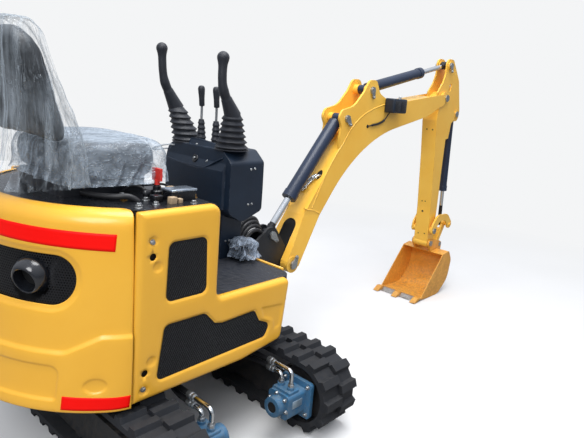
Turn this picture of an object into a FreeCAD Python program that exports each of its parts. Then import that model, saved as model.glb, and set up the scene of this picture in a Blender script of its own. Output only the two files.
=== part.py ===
# Mini excavator: rubber tracks with a dozer blade, a slewing upper with covers, seat and console,
# and a front made of boom, arm and bucket with its cylinders.
# Frame: origin on the ground under the slew axis, +X along the boom, +Y to the operator's left, +Z up.
# The undercarriage is parked a quarter turn to the upper, so its tracks run along Y and its
# sprockets are at -Y, as the machine stands.
import FreeCAD, Part
import math
import os
import re
from FreeCAD import Placement, Rotation, Vector

# Sizes in millimetres and degrees: alias, value, what it is
SIZES = [
    ("track_width", 180, "width of one rubber track"),
    ("track_gap", 516, "clear width between the two tracks"),
    ("track_outer_radius", 148, "radius over the lugs at a track's end"),
    ("lug_height", 18, "height of a lug over the band"),
    ("band_thickness", 20, "thickness of the rubber band"),
    ("lug_pitch", 76, "wanted distance from lug to lug"),
    ("drive_distance", 540, "sprocket axis behind the slew axis"),
    ("idler_distance", 500, "idler axis ahead of the slew axis"),
    ("running_gap", 0.3, "clearance between round pieces that touch"),
    ("beam_width", 116, "outside width of a track frame beam"),
    ("beam_wall", 10, "plate thickness of a track frame beam"),
    ("beam_top", 196, "height of a track frame beam's top"),
    ("beam_bottom", 62, "height of a track frame beam's lower edge"),
    ("wheel_width", 60, "width of an idler or sprocket rim"),
    ("roller_radius", 34, "radius of a bottom roller"),
    ("roller_pitch", 180, "distance from roller to roller"),
    ("centre_length", 320, "centre frame along the tracks"),
    ("centre_width", 400, "centre frame across the tracks"),
    ("centre_bottom", 150, "underside of the centre frame"),
    ("centre_top", 262, "top of the centre frame"),
    ("slew_radius", 165, "outside radius of the slew ring"),
    ("slew_top", 318, "height of the slew ring's upper face"),
    ("motor_flange", 145, "side of a travel motor's square flange"),
    ("motor_reach", 126, "length of a travel motor inside its flange"),
    ("blade_width", 880, "width of the dozer blade"),
    ("blade_height", 200, "height of the dozer blade"),
    ("blade_back", 675, "blade's back face ahead of the slew axis"),
    ("blade_wall", 10, "thickness of the blade's sheet"),
    ("blade_lift", 5, "blade's edge over the ground as parked"),
    ("blade_pin_ahead", 345, "blade hinge ahead of the slew axis"),
    ("blade_pin_height", 130, "height of the blade hinge"),
    ("blade_arm_span", 340, "distance between the two blade arms"),
    ("deck_height", 905, "top of the covers at the seat"),
    ("floor_height", 590, "top of the low front covers"),
    ("cover_bottom", 320, "lower edge of the rear covers"),
    ("half_width", 455, "half width over the side covers"),
    ("tail_radius", 515, "radius of the rounded tail at its foot"),
    ("tail_centre", 180, "tail arc's centre behind the slew axis"),
    ("cover_wall", 5, "thickness of a cover"),
    ("seam_back", 385, "seam between rear and side covers behind the slew axis"),
    ("step_back", 90, "front of the tall covers behind the slew axis"),
    ("floor_front", 318, "front of the floor ahead of the slew axis"),
    ("cover_depth", 28, "depth of a side cover's rim"),
    ("cover_hole", 9, "radius of a side cover's open hole"),
    ("platform_plate", 22, "thickness of the platform plate"),
    ("boom_half", 60, "half width of the boom"),
    ("boom_foot_half", 85, "half width of the boom's forked foot"),
    ("bracket_half", 35.5, "half width of the boom bracket"),
    ("fork_gap", 2.5, "clearance between fork and bracket, and boom tip and arm"),
    ("plate_wall", 8, "plate thickness of boom and arm"),
    ("arm_half", 50, "half width of the arm"),
    ("eye_half", 18, "half width of a cylinder's eye"),
    ("bucket_width", 310, "width of the bucket"),
    ("bucket_wall", 6, "thickness of the bucket's plates"),
    ("tooth_pitch", 140, "distance from tooth to tooth"),
    ("seat_width", 450, "width of the seat"),
    ("console_half", 200, "half width of the control console"),
    ("console_top", 1028, "height of the console's top, under the lever boots"),
    ("belly_stand", 6, "how far the rear cover's lower part stands proud"),
    ("boot_radius", 62, "radius of a lever boot at its foot"),
]

doc = FreeCAD.newDocument("mini_excavator")
sheet = doc.addObject("Spreadsheet::Sheet", "Sizes")
for row, (alias, value, meaning) in enumerate(SIZES, start=1):
    sheet.set("A%d" % row, meaning)
    sheet.set("B%d" % row, str(value))
    sheet.setAlias("B%d" % row, alias)
doc.recompute()


class SheetSizes:
    """Reads a size from the sheet by its alias."""

    def __getattr__(self, alias):
        return float(sheet.get(alias))


size = SheetSizes()
ALIASES = re.compile(r"\b(" + "|".join(alias for alias, value, meaning in SIZES) + r")\b")
KEPT = []


def formula(words):
    """A formula in the sheet's aliases, written so that an object's property can follow it."""
    return ALIASES.sub(r"Sizes.\1", str(words))


def keep(thing, label):
    """Names a finished sub-part, whose label is its file's name."""
    thing.Label = label
    KEPT.append(thing)
    return thing


def rounded(points):
    """Lines and arcs of a closed outline through (u, v) or (u, v, corner radius) points."""
    count = len(points)
    spots = [Vector(point[0], point[1], 0) for point in points]
    wanted = []
    for index, point in enumerate(points):
        back = (spots[index - 1] - spots[index]).normalize()
        ahead = (spots[(index + 1) % count] - spots[index]).normalize()
        half = back.getAngle(ahead) / 2
        radius = point[2] if len(point) > 2 else 0
        wanted.append((back, ahead, half, radius / math.tan(half)))
    corners = []
    for index, (back, ahead, half, cut) in enumerate(wanted):
        here = spots[index]
        for other in (index - 1, (index + 1) % count):
            room = 0.998 * (spots[other] - here).Length
            needed = cut + wanted[other][3]
            if needed > room:
                cut = min(cut, wanted[index][3] * room / needed)
        if cut <= 0:
            corners.append((here, None, here))
            continue
        radius = cut * math.tan(half)
        crest = here + (back + ahead).normalize() * (radius / math.sin(half) - radius)
        corners.append((here + back * cut, crest, here + ahead * cut))
    curves = []
    for index, (start, crest, end) in enumerate(corners):
        if crest is not None:
            curves.append(Part.Arc(start, crest, end))
        following = corners[(index + 1) % count][0]
        if end.distanceToPoint(following) > 1e-6:
            curves.append(Part.LineSegment(end, following))
    return curves


def circle(u, v, radius):
    return [Part.Circle(Vector(u, v, 0), Vector(0, 0, 1), radius)]


def rectangle(u_low, u_high, v_low, v_high, radius=0):
    return rounded([(u_low, v_low, radius), (u_high, v_low, radius), (u_high, v_high, radius), (u_low, v_high, radius)])


class Piece:
    """A PartDesign body built up from sketches that are padded or cut between two levels."""

    def __init__(self, label):
        self.body = keep(doc.addObject("PartDesign::Body", label), label)

    def sketch(self, plane, level, curves):
        made = self.body.newObject("Sketcher::SketchObject", self.body.Name + "_sketch")
        origin = [part for part in self.body.Origin.OriginFeatures if part.Role == plane + "_Plane"][0]
        made.AttachmentSupport = [(origin, "")]
        made.MapMode = "FlatFace"
        made.setExpression("AttachmentOffset.Base.z", formula(level))
        made.addGeometry(curves, False)
        made.Visibility = False
        return made

    def feature(self, kind, plane, start, length, curves):
        sketch = self.sketch(plane, start, curves)
        made = self.body.newObject("PartDesign::" + kind, self.body.Name + "_" + kind.lower())
        made.Profile = sketch
        made.setExpression("Length", formula(length))
        return made

    def pad(self, plane, low, high, curves):
        """Adds the outline's solid from low to high along the plane's row axis."""
        start = "-(%s)" % high if plane == "XZ" else "(%s)" % low
        self.feature("Pad", plane, start, "(%s) - (%s)" % (high, low), curves)
        return self

    def cut(self, plane, low, high, curves):
        """Takes the outline's solid from low to high out of the body."""
        start = "-(%s)" % low if plane == "XZ" else "(%s)" % high
        self.feature("Pocket", plane, start, "(%s) - (%s)" % (high, low), curves)
        return self


def block(name, low, high):
    """A Part box whose corners are formulas in the sheet's aliases."""
    made = doc.addObject("Part::Box", name)
    for word, axis, start, end in zip(("Length", "Width", "Height"), "xyz", low, high):
        made.setExpression(word, formula("(%s) - (%s)" % (end, start)))
        made.setExpression("Placement.Base." + axis, formula(start))
    return made


TURNS = {
    "X": Rotation(Vector(0, 0, 1), Vector(1, 0, 0)),
    "Y": Rotation(Vector(0, 0, 1), Vector(0, 1, 0)),
    "Z": Rotation(),
}


def drum(name, axis, low, centre, radius, length):
    """A Part cylinder along a row axis, from low, with its centre in the other two axes."""
    made = doc.addObject("Part::Cylinder", name)
    place = {"X": (low, centre[0], centre[1]), "Y": (centre[0], low, centre[1]), "Z": (centre[0], centre[1], low)}
    made.Placement = Placement(Vector(0, 0, 0), TURNS[axis])
    for word, value in zip("xyz", place[axis]):
        made.setExpression("Placement.Base." + word, formula(value))
    made.setExpression("Radius", formula(radius))
    made.setExpression("Height", formula(length))
    return made


def together(label, kind, things):
    """One sub-part out of several objects: Part::MultiFuse where they join, Part::Compound where they don't."""
    made = doc.addObject(kind, label)
    if kind == "Part::Compound":
        made.Links = things
    else:
        made.Shapes = things
    return keep(made, label)


def shape(label, solid):
    """A sub-part whose shape is worked out by Part's own functions."""
    made = doc.addObject("Part::Feature", label)
    made.Shape = solid
    return keep(made, label)


def polygon(points):
    """A flat face through 3D points."""
    return Part.Face(Part.makePolygon(list(points) + [points[0]]))


def prism(curves, low, high):
    """The solid of an X-Z outline between two Y levels."""
    edges = [curve.toShape() for curve in curves]
    wire = Part.Wire(Part.sortEdges(edges)[0])
    turn = Placement(Vector(0, low, 0), Rotation(Vector(1, 0, 0), 90))
    face = Part.Face(wire)
    face.Placement = turn
    return face.extrude(Vector(0, high - low, 0))


def plan_prism(wire, low, high):
    """The solid of a plan outline between two heights."""
    face = Part.Face(wire)
    face.translate(Vector(0, 0, low))
    return face.extrude(Vector(0, 0, high - low))


# Undercarriage

HALF_GAP = size.track_gap / 2
TRACK_MIDDLE = HALF_GAP + size.track_width / 2
BAND_RADIUS = size.track_outer_radius - size.lug_height
INNER_RADIUS = BAND_RADIUS - size.band_thickness
WHEEL_HEIGHT = size.track_outer_radius
TRACK_STRAIGHT = size.drive_distance + size.idler_distance
TRACK_LOOP = 2 * TRACK_STRAIGHT + 2 * math.pi * BAND_RADIUS
LUG_COUNT = round(TRACK_LOOP / size.lug_pitch)
# A lug's outline over one pitch: share of the pitch, 1 where the point is on the lug's top
LUG_POINTS = [(0.02, 0), (0.12, 1), (0.46, 1), (0.56, 0)]


def on_loop(share, radius):
    """Point (y, z) of the track's loop at a share of its length, at a radius round the wheels."""
    along = (share % 1.0) * TRACK_LOOP
    turn = math.pi * BAND_RADIUS
    if along < TRACK_STRAIGHT:
        return (-size.drive_distance + along, WHEEL_HEIGHT - radius)
    along -= TRACK_STRAIGHT
    if along < turn:
        angle = along / BAND_RADIUS - math.pi / 2
        return (size.idler_distance + radius * math.cos(angle), WHEEL_HEIGHT + radius * math.sin(angle))
    along -= turn
    if along < TRACK_STRAIGHT:
        return (size.idler_distance - along, WHEEL_HEIGHT + radius)
    angle = (along - TRACK_STRAIGHT) / BAND_RADIUS + math.pi / 2
    return (-size.drive_distance + radius * math.cos(angle), WHEEL_HEIGHT + radius * math.sin(angle))


def track_row(low, high, phase):
    """One row of lugs with its half of the band."""
    outline = []
    for lug in range(LUG_COUNT):
        for share, top in LUG_POINTS:
            radius = size.track_outer_radius if top else BAND_RADIUS
            y, z = on_loop((lug + phase + share) / LUG_COUNT, radius)
            outline.append(Vector(low, y, z))
    ring = polygon(outline).extrude(Vector(high - low, 0, 0))
    hollow = rectangle(-size.drive_distance - INNER_RADIUS, size.idler_distance + INNER_RADIUS,
                       WHEEL_HEIGHT - INNER_RADIUS, WHEEL_HEIGHT + INNER_RADIUS, INNER_RADIUS - 0.001)
    wire = Part.Wire(Part.sortEdges([curve.toShape() for curve in hollow])[0])
    core = Part.Face(wire)
    core.Placement = Placement(Vector(low - 1, 0, 0), Rotation(0.5, 0.5, 0.5, 0.5))
    return ring.cut(core.extrude(Vector(high - low + 2, 0, 0)))


for label, side in (("track_left", -1), ("track_right", 1)):
    low = min(side * HALF_GAP, side * (HALF_GAP + size.track_width))
    middle = low + size.track_width / 2
    near = track_row(low, middle, 0.0)
    far = track_row(middle, low + size.track_width, 0.5)
    shape(label, near.fuse(far).removeSplitter())

PIN = 16
EYE_PIN = 13
EYE_BORE = EYE_PIN + size.running_gap
BLADE_PIN_RADIUS = 12
RAM_BASE = (205, 228)
RAM_EYE = (640, 150)
FLANGE_FACE = HALF_GAP + 4
PLATE_FACE = FLANGE_FACE + 12
BEAM_INNER = TRACK_MIDDLE - size.beam_width / 2
BEAM_OUTER = TRACK_MIDDLE + size.beam_width / 2
BEAM_DRIVE_END = size.drive_distance - INNER_RADIUS - 12
BEAM_IDLER_END = size.idler_distance - INNER_RADIUS - 12
IDLER_FORK = 30
CROSS_ARMS = [(-150, -70), (70, 150)]


def frame_piece():
    """Centre frame, cross arms, track frame beams, motor plates and blade ears as one weldment."""
    parts = [block("centre_box", ("-centre_width / 2", "-centre_length / 2", "centre_bottom"),
                   ("centre_width / 2", "centre_length / 2", "centre_top"))]
    for side in (-1, 1):
        def across(name, x_low, x_high, y_low, y_high, z_low, z_high, side=side):
            low, high = sorted((side * x_low, side * x_high))
            parts.append(block(name, (low, y_low, z_low), (high, y_high, z_high)))
        for y_low, y_high in CROSS_ARMS:
            across("cross_arm", size.centre_width / 2 - 10, BEAM_INNER, y_low, y_high, size.centre_bottom, 190)
        across("beam_top_plate", BEAM_INNER, BEAM_OUTER, -BEAM_DRIVE_END, BEAM_IDLER_END,
               size.beam_top - size.beam_wall, size.beam_top)
        for x_low in (BEAM_INNER, BEAM_OUTER - size.beam_wall):
            across("beam_side", x_low, x_low + size.beam_wall, -BEAM_DRIVE_END, BEAM_IDLER_END,
                   size.beam_bottom, size.beam_top)
            across("idler_fork", x_low, x_low + size.beam_wall, BEAM_IDLER_END - 10, size.idler_distance + IDLER_FORK,
                   WHEEL_HEIGHT - 28, WHEEL_HEIGHT + 28)
        across("motor_plate", FLANGE_FACE, PLATE_FACE, -size.drive_distance - 66, 12 - BEAM_DRIVE_END,
               WHEEL_HEIGHT - 66, WHEEL_HEIGHT + 66)
        across("motor_plate_web", PLATE_FACE - 2, BEAM_INNER + 4, -BEAM_DRIVE_END, 12 - BEAM_DRIVE_END,
               WHEEL_HEIGHT - 66, size.beam_top - 10)
        middle = size.blade_arm_span / 2
        for x_low in (middle - 34, middle + 22):
            across("blade_ear", x_low, x_low + 12, size.centre_length / 2 - 5, size.blade_pin_ahead + 28,
                   size.blade_pin_height - 26, size.blade_pin_height + 40)
        across("blade_ear_root", middle - 34, middle + 34, size.centre_length / 2 - 5, size.centre_length / 2 + 40,
               size.centre_bottom, 200)
    for x_low in (-32, 20):
        parts.append(block("ram_ear", (x_low, size.centre_length / 2 - 5, 196), (x_low + 12, 225, 252)))
    fused = doc.addObject("Part::MultiFuse", "frame_blocks")
    fused.Shapes = parts
    holes = []
    for side in (-1, 1):
        low = FLANGE_FACE - 1 if side > 0 else -PLATE_FACE - 1
        holes.append(drum("hub_hole", "X", low, ("-drive_distance", "track_outer_radius"), 45, 14))
        holes.append(drum("blade_pin_bore", "X", side * size.blade_arm_span / 2 - 45,
                          ("blade_pin_ahead", "blade_pin_height"), BLADE_PIN_RADIUS + size.running_gap, 90))
    holes.append(drum("ram_bore", "X", -40, RAM_BASE, EYE_BORE, 80))
    bores = doc.addObject("Part::MultiFuse", "hub_holes")
    bores.Shapes = holes
    made = doc.addObject("Part::Cut", "undercarriage_frame")
    made.Base = fused
    made.Tool = bores
    return keep(made, "undercarriage_frame")


frame_piece()
together("slew_ring", "Part::MultiFuse", [
    drum("slew_race", "Z", "centre_top", (0, 0), "slew_radius", "slew_top - centre_top - running_gap - 18"),
    drum("slew_race_top", "Z", "slew_top - running_gap - 20", (0, 0), "slew_radius - 12", 20),
])

wheels = []
rollers = []
ROLLER_HEIGHT = WHEEL_HEIGHT - INNER_RADIUS + size.running_gap + size.roller_radius
for side in (-1, 1):
    for y, inner in ((-size.drive_distance, PLATE_FACE + 20), (size.idler_distance, BEAM_INNER + size.beam_wall)):
        low = side * TRACK_MIDDLE - size.wheel_width / 2
        hub_low, hub_high = sorted((side * inner, side * (BEAM_OUTER - size.beam_wall)))
        rim = drum("wheel_rim", "X", low, (y, WHEEL_HEIGHT), INNER_RADIUS - size.running_gap, size.wheel_width)
        hub = drum("wheel_hub", "X", hub_low, (y, WHEEL_HEIGHT), 24, hub_high - hub_low)
        wheel = doc.addObject("Part::MultiFuse", "track_wheel")
        wheel.Shapes = [rim, hub]
        wheels.append(wheel)
    low = side * TRACK_MIDDLE - size.beam_width / 2 + size.beam_wall
    for step in (-1.5, -0.5, 0.5, 1.5):
        rollers.append(drum("roller", "X", low, (step * size.roller_pitch - 20, ROLLER_HEIGHT), "roller_radius",
                            "beam_width - 2 * beam_wall"))
together("track_wheels", "Part::Compound", wheels)
together("track_rollers", "Part::Compound", rollers)

MOTOR_END = FLANGE_FACE - 16 - size.motor_reach
PORT_TOP = WHEEL_HEIGHT + 68


def travel_motor(label, side):
    """A travel motor: square flange, housing, round end cap, port block and the hub through the plate."""
    piece = Piece(label)
    y, z = -size.drive_distance, WHEEL_HEIGHT

    def along(x_low, x_high, curves):
        low, high = sorted((side * x_low, side * x_high))
        piece.pad("YZ", low, high, curves)
    half = size.motor_flange / 2
    along(FLANGE_FACE - 16, FLANGE_FACE, rectangle(y - half, y + half, z - half, z + half, 14))
    along(MOTOR_END + 30, FLANGE_FACE - 15, rectangle(y - 50, y + 50, z - 48, z + 48, 16))
    along(MOTOR_END, MOTOR_END + 31, circle(y, z, 38))
    along(MOTOR_END + 40, MOTOR_END + 92, rectangle(y - 42, y + 42, z + 40, PORT_TOP - 10, 6))
    for y_port in (y - 24, y + 24):
        piece.pad("XY", z + 50, PORT_TOP, circle(side * (MOTOR_END + 66), y_port, 14))
    along(FLANGE_FACE - 1, PLATE_FACE + 20, circle(y, z, 44))
    return piece


travel_motor("travel_motor_left", -1)
travel_motor("travel_motor_right", 1)



def bent_pipe(points, radius, bend):
    """A round pipe through points, its corners rounded by one bend radius."""
    spots = [Vector(*point) for point in points]
    edges = []
    start = spots[0]
    for before, corner, after in zip(spots, spots[1:], spots[2:]):
        back = (before - corner).normalize()
        ahead = (after - corner).normalize()
        half = back.getAngle(ahead) / 2
        cut = bend / math.tan(half)
        crest = corner + (back + ahead).normalize() * (bend / math.sin(half) - bend)
        first, last = corner + back * cut, corner + ahead * cut
        edges.append(Part.LineSegment(start, first).toShape())
        edges.append(Part.Arc(first, crest, last).toShape())
        start = last
    edges.append(Part.LineSegment(start, spots[-1]).toShape())
    path = Part.Wire(edges)
    profile = Part.Wire(Part.makeCircle(radius, spots[0], spots[1] - spots[0]))
    return path.makePipeShell([profile], True, True)


def motor_pipes():
    """Two elbows on each motor: the rear one is taller, so that it passes over the front one."""
    pipes = []
    middle = MOTOR_END + 66
    for side in (-1, 1):
        for y, rise, run in ((-size.drive_distance - 24, 62, 90), (-size.drive_distance + 24, 34, 42)):
            top = PORT_TOP + rise
            pipes.append(bent_pipe([(side * middle, y, PORT_TOP), (side * middle, y, top), (side * middle, y + run, top)],
                                   8, 18))
    return shape("motor_pipes", Part.makeCompound(pipes))


motor_pipes()


# Dozer blade with its lifting cylinder

BLADE_PIN = (size.blade_pin_ahead, size.blade_pin_height)
BLADE_LOW = size.blade_lift
BLADE_HIGH = size.blade_lift + size.blade_height


def side_view(curves):
    """The outline of a Y-Z view as a face in the plane X = 0."""
    wire = Part.Wire(Part.sortEdges([curve.toShape() for curve in curves])[0])
    face = Part.Face(wire)
    face.Placement = Placement(Vector(0, 0, 0), Rotation(0.5, 0.5, 0.5, 0.5))
    return face


def closed(points):
    """The closed wire of a rounded outline."""
    return Part.Wire(Part.sortEdges([curve.toShape() for curve in rounded(points)])[0])


def across_x(curves, low, high):
    """The solid of a Y-Z outline between two X levels."""
    face = side_view(curves)
    face.translate(Vector(low, 0, 0))
    return face.extrude(Vector(high - low, 0, 0))


def dozer_blade():
    back = size.blade_back
    wall = size.blade_wall
    bow = 34
    front = [
        Part.LineSegment(Vector(back, BLADE_LOW + 30, 0), Vector(back + 48, BLADE_LOW, 0)),
        Part.LineSegment(Vector(back + 48, BLADE_LOW, 0), Vector(back + 60, BLADE_LOW, 0)),
        Part.Arc(Vector(back + 60, BLADE_LOW, 0), Vector(back + bow - 10, (BLADE_LOW + BLADE_HIGH) / 2, 0),
                 Vector(back + bow + 4, BLADE_HIGH, 0)),
        Part.LineSegment(Vector(back + bow + 4, BLADE_HIGH, 0), Vector(back + bow - wall, BLADE_HIGH, 0)),
        Part.Arc(Vector(back + bow - wall, BLADE_HIGH, 0), Vector(back + 6, (BLADE_LOW + BLADE_HIGH) / 2, 0),
                 Vector(back, BLADE_LOW + 30, 0)),
    ]
    solid = across_x(front, -size.blade_width / 2, size.blade_width / 2)
    y_pin, z_pin = BLADE_PIN
    arm = rounded([(y_pin - 24, z_pin - 24, 20), (back + 12, BLADE_LOW + 40), (back + 12, BLADE_LOW + 130),
                   (y_pin - 24, z_pin + 24, 20)])
    for side in (-1, 1):
        middle = side * size.blade_arm_span / 2
        leg = across_x(arm, middle - 21, middle + 21)
        leg = leg.cut(Part.makeCylinder(BLADE_PIN_RADIUS + size.running_gap, 60,
                                        Vector(middle - 30, y_pin, z_pin),
                                        Vector(1, 0, 0)))
        solid = solid.fuse(leg)
    ear = rounded([(RAM_EYE[0] - 24, RAM_EYE[1] - 24, 20), (back + 12, RAM_EYE[1] - 50), (back + 12, RAM_EYE[1] + 40),
                   (RAM_EYE[0] - 24, RAM_EYE[1] + 24, 20)])
    for low in (-33, 21):
        solid = solid.fuse(across_x(ear, low, low + 12))
    eyelet = rounded([(back - 40, BLADE_HIGH - 60, 26), (back + 16, BLADE_HIGH - 60), (back + 16, BLADE_HIGH - 6),
                      (back - 40, BLADE_HIGH - 6, 26)])
    for side in (-1, 1):
        low = side * 250 - 6
        tie = across_x(eyelet, low, low + 12)
        bore = Part.makeCylinder(12, 14, Vector(low - 1, back - 12, BLADE_HIGH - 33), Vector(1, 0, 0))
        solid = solid.fuse(tie.cut(bore))
    return shape("dozer_blade", solid)


dozer_blade()


def spot(u, v, axis):
    """A point in the plane of a cylinder: the boom's plane, or the blade's."""
    return Vector(0, u, v) if axis == "X" else Vector(u, 0, v)


def cylinder_pair(label, axis, base, eye, barrel_radius, rod_radius, barrel_length, rod_inside, eye_radius=24,
                  neck_length=32):
    """A hydraulic cylinder's barrel and rod, each with its eye, between two pins across the given axis."""
    start, end = spot(*base, axis), spot(*eye, axis)
    across = Vector(1, 0, 0) if axis == "X" else Vector(0, 1, 0)
    line = (end - start).normalize()
    half = size.eye_half
    gland = barrel_length - 34
    barrel = Part.makeCylinder(barrel_radius, barrel_length - neck_length, start + line * neck_length, line)
    barrel = barrel.fuse(Part.makeCylinder(half - 1, neck_length - eye_radius + 9, start + line * (eye_radius - 8), line))
    barrel = barrel.fuse(Part.makeCylinder(barrel_radius + 3, 34, start + line * gland, line))
    barrel = barrel.fuse(Part.makeCylinder(eye_radius, 2 * half, start - across * half, across))
    barrel = barrel.cut(Part.makeCylinder(EYE_BORE, 2 * half + 2, start - across * (half + 1), across))
    barrel = barrel.cut(Part.makeCylinder(rod_radius + size.running_gap, barrel_length, start + line * 60, line))
    length = (end - start).Length
    reach = barrel_length - rod_inside
    rod = Part.makeCylinder(rod_radius, length - reach - eye_radius + 4, start + line * reach, line)
    neck = Part.makeCylinder(rod_radius + 3, 26, end - line * (eye_radius + 22), line)
    rod = rod.fuse(neck).fuse(Part.makeCylinder(eye_radius, 2 * half, end - across * half, across))
    rod = rod.cut(Part.makeCylinder(EYE_BORE, 2 * half + 2, end - across * (half + 1), across))
    shape(label + "_barrel", barrel)
    shape(label + "_rod", rod)


cylinder_pair("blade_cylinder", "X", RAM_BASE, RAM_EYE, 26, 14, 330, 230, 20, 42)
BLADE_PIN_REACH = size.blade_arm_span / 2
blade_pins = [Part.makeCylinder(EYE_PIN, 66, Vector(-33, RAM_BASE[0], RAM_BASE[1]), Vector(1, 0, 0))]
for side in (-1, 1):
    blade_pins.append(Part.makeCylinder(BLADE_PIN_RADIUS, 80, Vector(side * BLADE_PIN_REACH - 40, *BLADE_PIN),
                                        Vector(1, 0, 0)))
shape("blade_pins", Part.makeCompound(blade_pins))


# Platform, covers and deck of the upper

def tail_wire(half, radius, centre, corner, front):
    """Plan outline of the upper: flat sides, rounded corners and an arc round the tail."""
    reach = math.sqrt((radius - corner) ** 2 - (half - corner) ** 2)
    hub = Vector(-centre, 0, 0)
    spots = []
    for side in (-1, 1):
        middle = hub + Vector(-reach, side * (half - corner), 0)
        out = (middle - hub).normalize()
        flank = Vector(0, side, 0)
        crest = middle + (out + flank).normalize() * corner
        spots.append((middle + flank * corner, crest, hub + out * radius))
    (right, right_crest, right_tail), (left, left_crest, left_tail) = spots
    return Part.Wire([
        Part.LineSegment(Vector(front, -half, 0), right).toShape(),
        Part.Arc(right, right_crest, right_tail).toShape(),
        Part.Arc(right_tail, hub - Vector(radius, 0, 0), left_tail).toShape(),
        Part.Arc(left_tail, left_crest, left).toShape(),
        Part.LineSegment(left, Vector(front, half, 0)).toShape(),
        Part.LineSegment(Vector(front, half, 0), Vector(front, -half, 0)).toShape(),
    ])


# Tail sections: height, then half width, tail radius, arc centre and corner radius
FOOT = (size.half_width, size.tail_radius, size.tail_centre, 150)
HEAD = (size.half_width - 3, size.tail_radius - 25, size.tail_centre - 37, 120)
SHOULDER = 42


def inset(section, by):
    half, radius, centre, corner = section
    return (half - by, radius - by, centre, corner - by)


def tail_body(by, low, high, shoulder):
    """The tail's solid, set in from its skin, with a rounded upper edge."""
    rise = size.deck_height - size.cover_bottom

    def at(height):
        share = (height - size.cover_bottom) / rise
        section = [foot + (head - foot) * share for foot, head in zip(FOOT, HEAD)]
        wire = tail_wire(*inset(section, by), 0)
        wire.translate(Vector(0, 0, height))
        return wire
    solid = Part.makeLoft([at(low), at(high)], True, True)
    crests = [edge for edge in solid.Edges
              if edge.BoundBox.ZMin > high - 0.01 and edge.BoundBox.XMin < -1]
    return solid.makeFillet(shoulder, crests)


SEAM_SLANT = 20
SEAM_GAP = 4


def ahead_of_seam():
    """Everything ahead of the slanted seam between the rear and side covers."""
    back = -size.seam_back - SEAM_SLANT
    low, high = size.cover_bottom - 20, size.deck_height + 95
    lean = SEAM_SLANT * (high - low) / (size.deck_height - size.cover_bottom)
    return prism(rounded([(back, low), (400, low), (400, high), (back + lean, high)]), -600, 600)


EXHAUST_HEIGHT = size.deck_height - 205
EXHAUST_HALF = 355
EXHAUST_RADIUS = 72


# Upper edge of the rear cover's belly in rear view: y, z, corner radius
BELLY_EDGE = [(-600, 549), (-408, 549, 30), (-345, 500, 30), (345, 500, 30), (408, 549, 30), (600, 549)]
EXHAUST_BORDER = 15


def exhaust_slot(by):
    """The rear cover's exhaust opening, grown by a border's width, as a solid through the cover."""
    reach = EXHAUST_RADIUS + by
    wide = EXHAUST_HALF + by
    low, high = EXHAUST_HEIGHT - reach, EXHAUST_HEIGHT + reach
    return across_x(rectangle(-wide, wide, low, high, reach - 0.01), -900, -380)


def belly():
    """The rear cover's lower part, which stands proud up to a stepped ridge with a rounded edge."""
    outline = rounded([(-600, 300)] + BELLY_EDGE + [(600, 300)])
    solid = tail_body(-size.belly_stand, size.cover_bottom, 640, 10).common(across_x(outline, -900, -380))
    crests = [edge for edge in solid.Edges
              if edge.BoundBox.ZMin > 495 and max(edge.BoundBox.YLength, edge.BoundBox.ZLength) > 1
              and edge.BoundBox.XMin < -385]
    return solid.makeFillet(4, crests)


def rear_cover():
    wall = size.cover_wall
    skin = tail_body(0, size.cover_bottom, size.deck_height, SHOULDER)
    inside = tail_body(wall, size.cover_bottom - 10, size.deck_height - wall, SHOULDER - wall)
    border = tail_body(-3, size.cover_bottom, EXHAUST_HEIGHT + 120, 10).common(exhaust_slot(EXHAUST_BORDER))
    cover = skin.fuse(belly()).fuse(border).cut(inside).cut(ahead_of_seam())
    rim = tail_wire(*inset(HEAD, SHOULDER + 4), 0)
    opening = plan_prism(rim, size.deck_height - 20, size.deck_height + 10)
    return shape("rear_cover", cover.cut(opening).cut(exhaust_slot(0)))


rear_cover()

# Side cover's outline in side view: x, z, corner radius
COVER_OUTLINE = [
    (-size.seam_back - SEAM_SLANT + SEAM_GAP, size.cover_bottom + 2, 6),
    (36, size.cover_bottom + 4, 60),
    (236, size.cover_bottom + 32, 30),
    (262, size.floor_height, 22),
    (-size.step_back, size.floor_height, 26),
    (-size.step_back, size.deck_height, 34),
    (-size.seam_back + SEAM_GAP, size.deck_height, 6),
]
COVER_ROUND = 18
UPPER_GRILLE = [(-284, 629, 16), (-144, 629, 16), (-150, 801, 16), (-277, 801, 16)]
LOWER_GRILLE = [
    (-310, 380, 12), (140, 392, 16), (158, 430, 14), (107, 452, 14), (82, 496, 12), (-62, 490, 14),
    (-98, 498, 20), (-140, 543, 20), (-286, 543, 14),
]


def inner_outline(outline, by):
    """The face of an X-Z outline set in by a distance, at Y = 0."""
    wire = Part.Wire(Part.sortEdges([curve.toShape() for curve in rounded(outline)])[0])
    face = Part.Face(wire).makeOffset2D(-by) if by else Part.Face(wire)
    face.Placement = Placement(Vector(0, 0, 0), Rotation(Vector(1, 0, 0), 90)).multiply(face.Placement)
    return face


def outline_prism(outline, by, low, high):
    face = inner_outline(outline, by)
    face.translate(Vector(0, low, 0))
    return face.extrude(Vector(0, high - low, 0))


# Open holes beside the cover's two bolts, in its side view
COVER_HOLES = [(-341, 774), (-361, 416)]


def mirrored(solid, side):
    """The solid as it is on the right side, or its mirror image on the left."""
    return solid.mirror(Vector(0, 0, 0), Vector(0, 1, 0)) if side > 0 else solid


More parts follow.
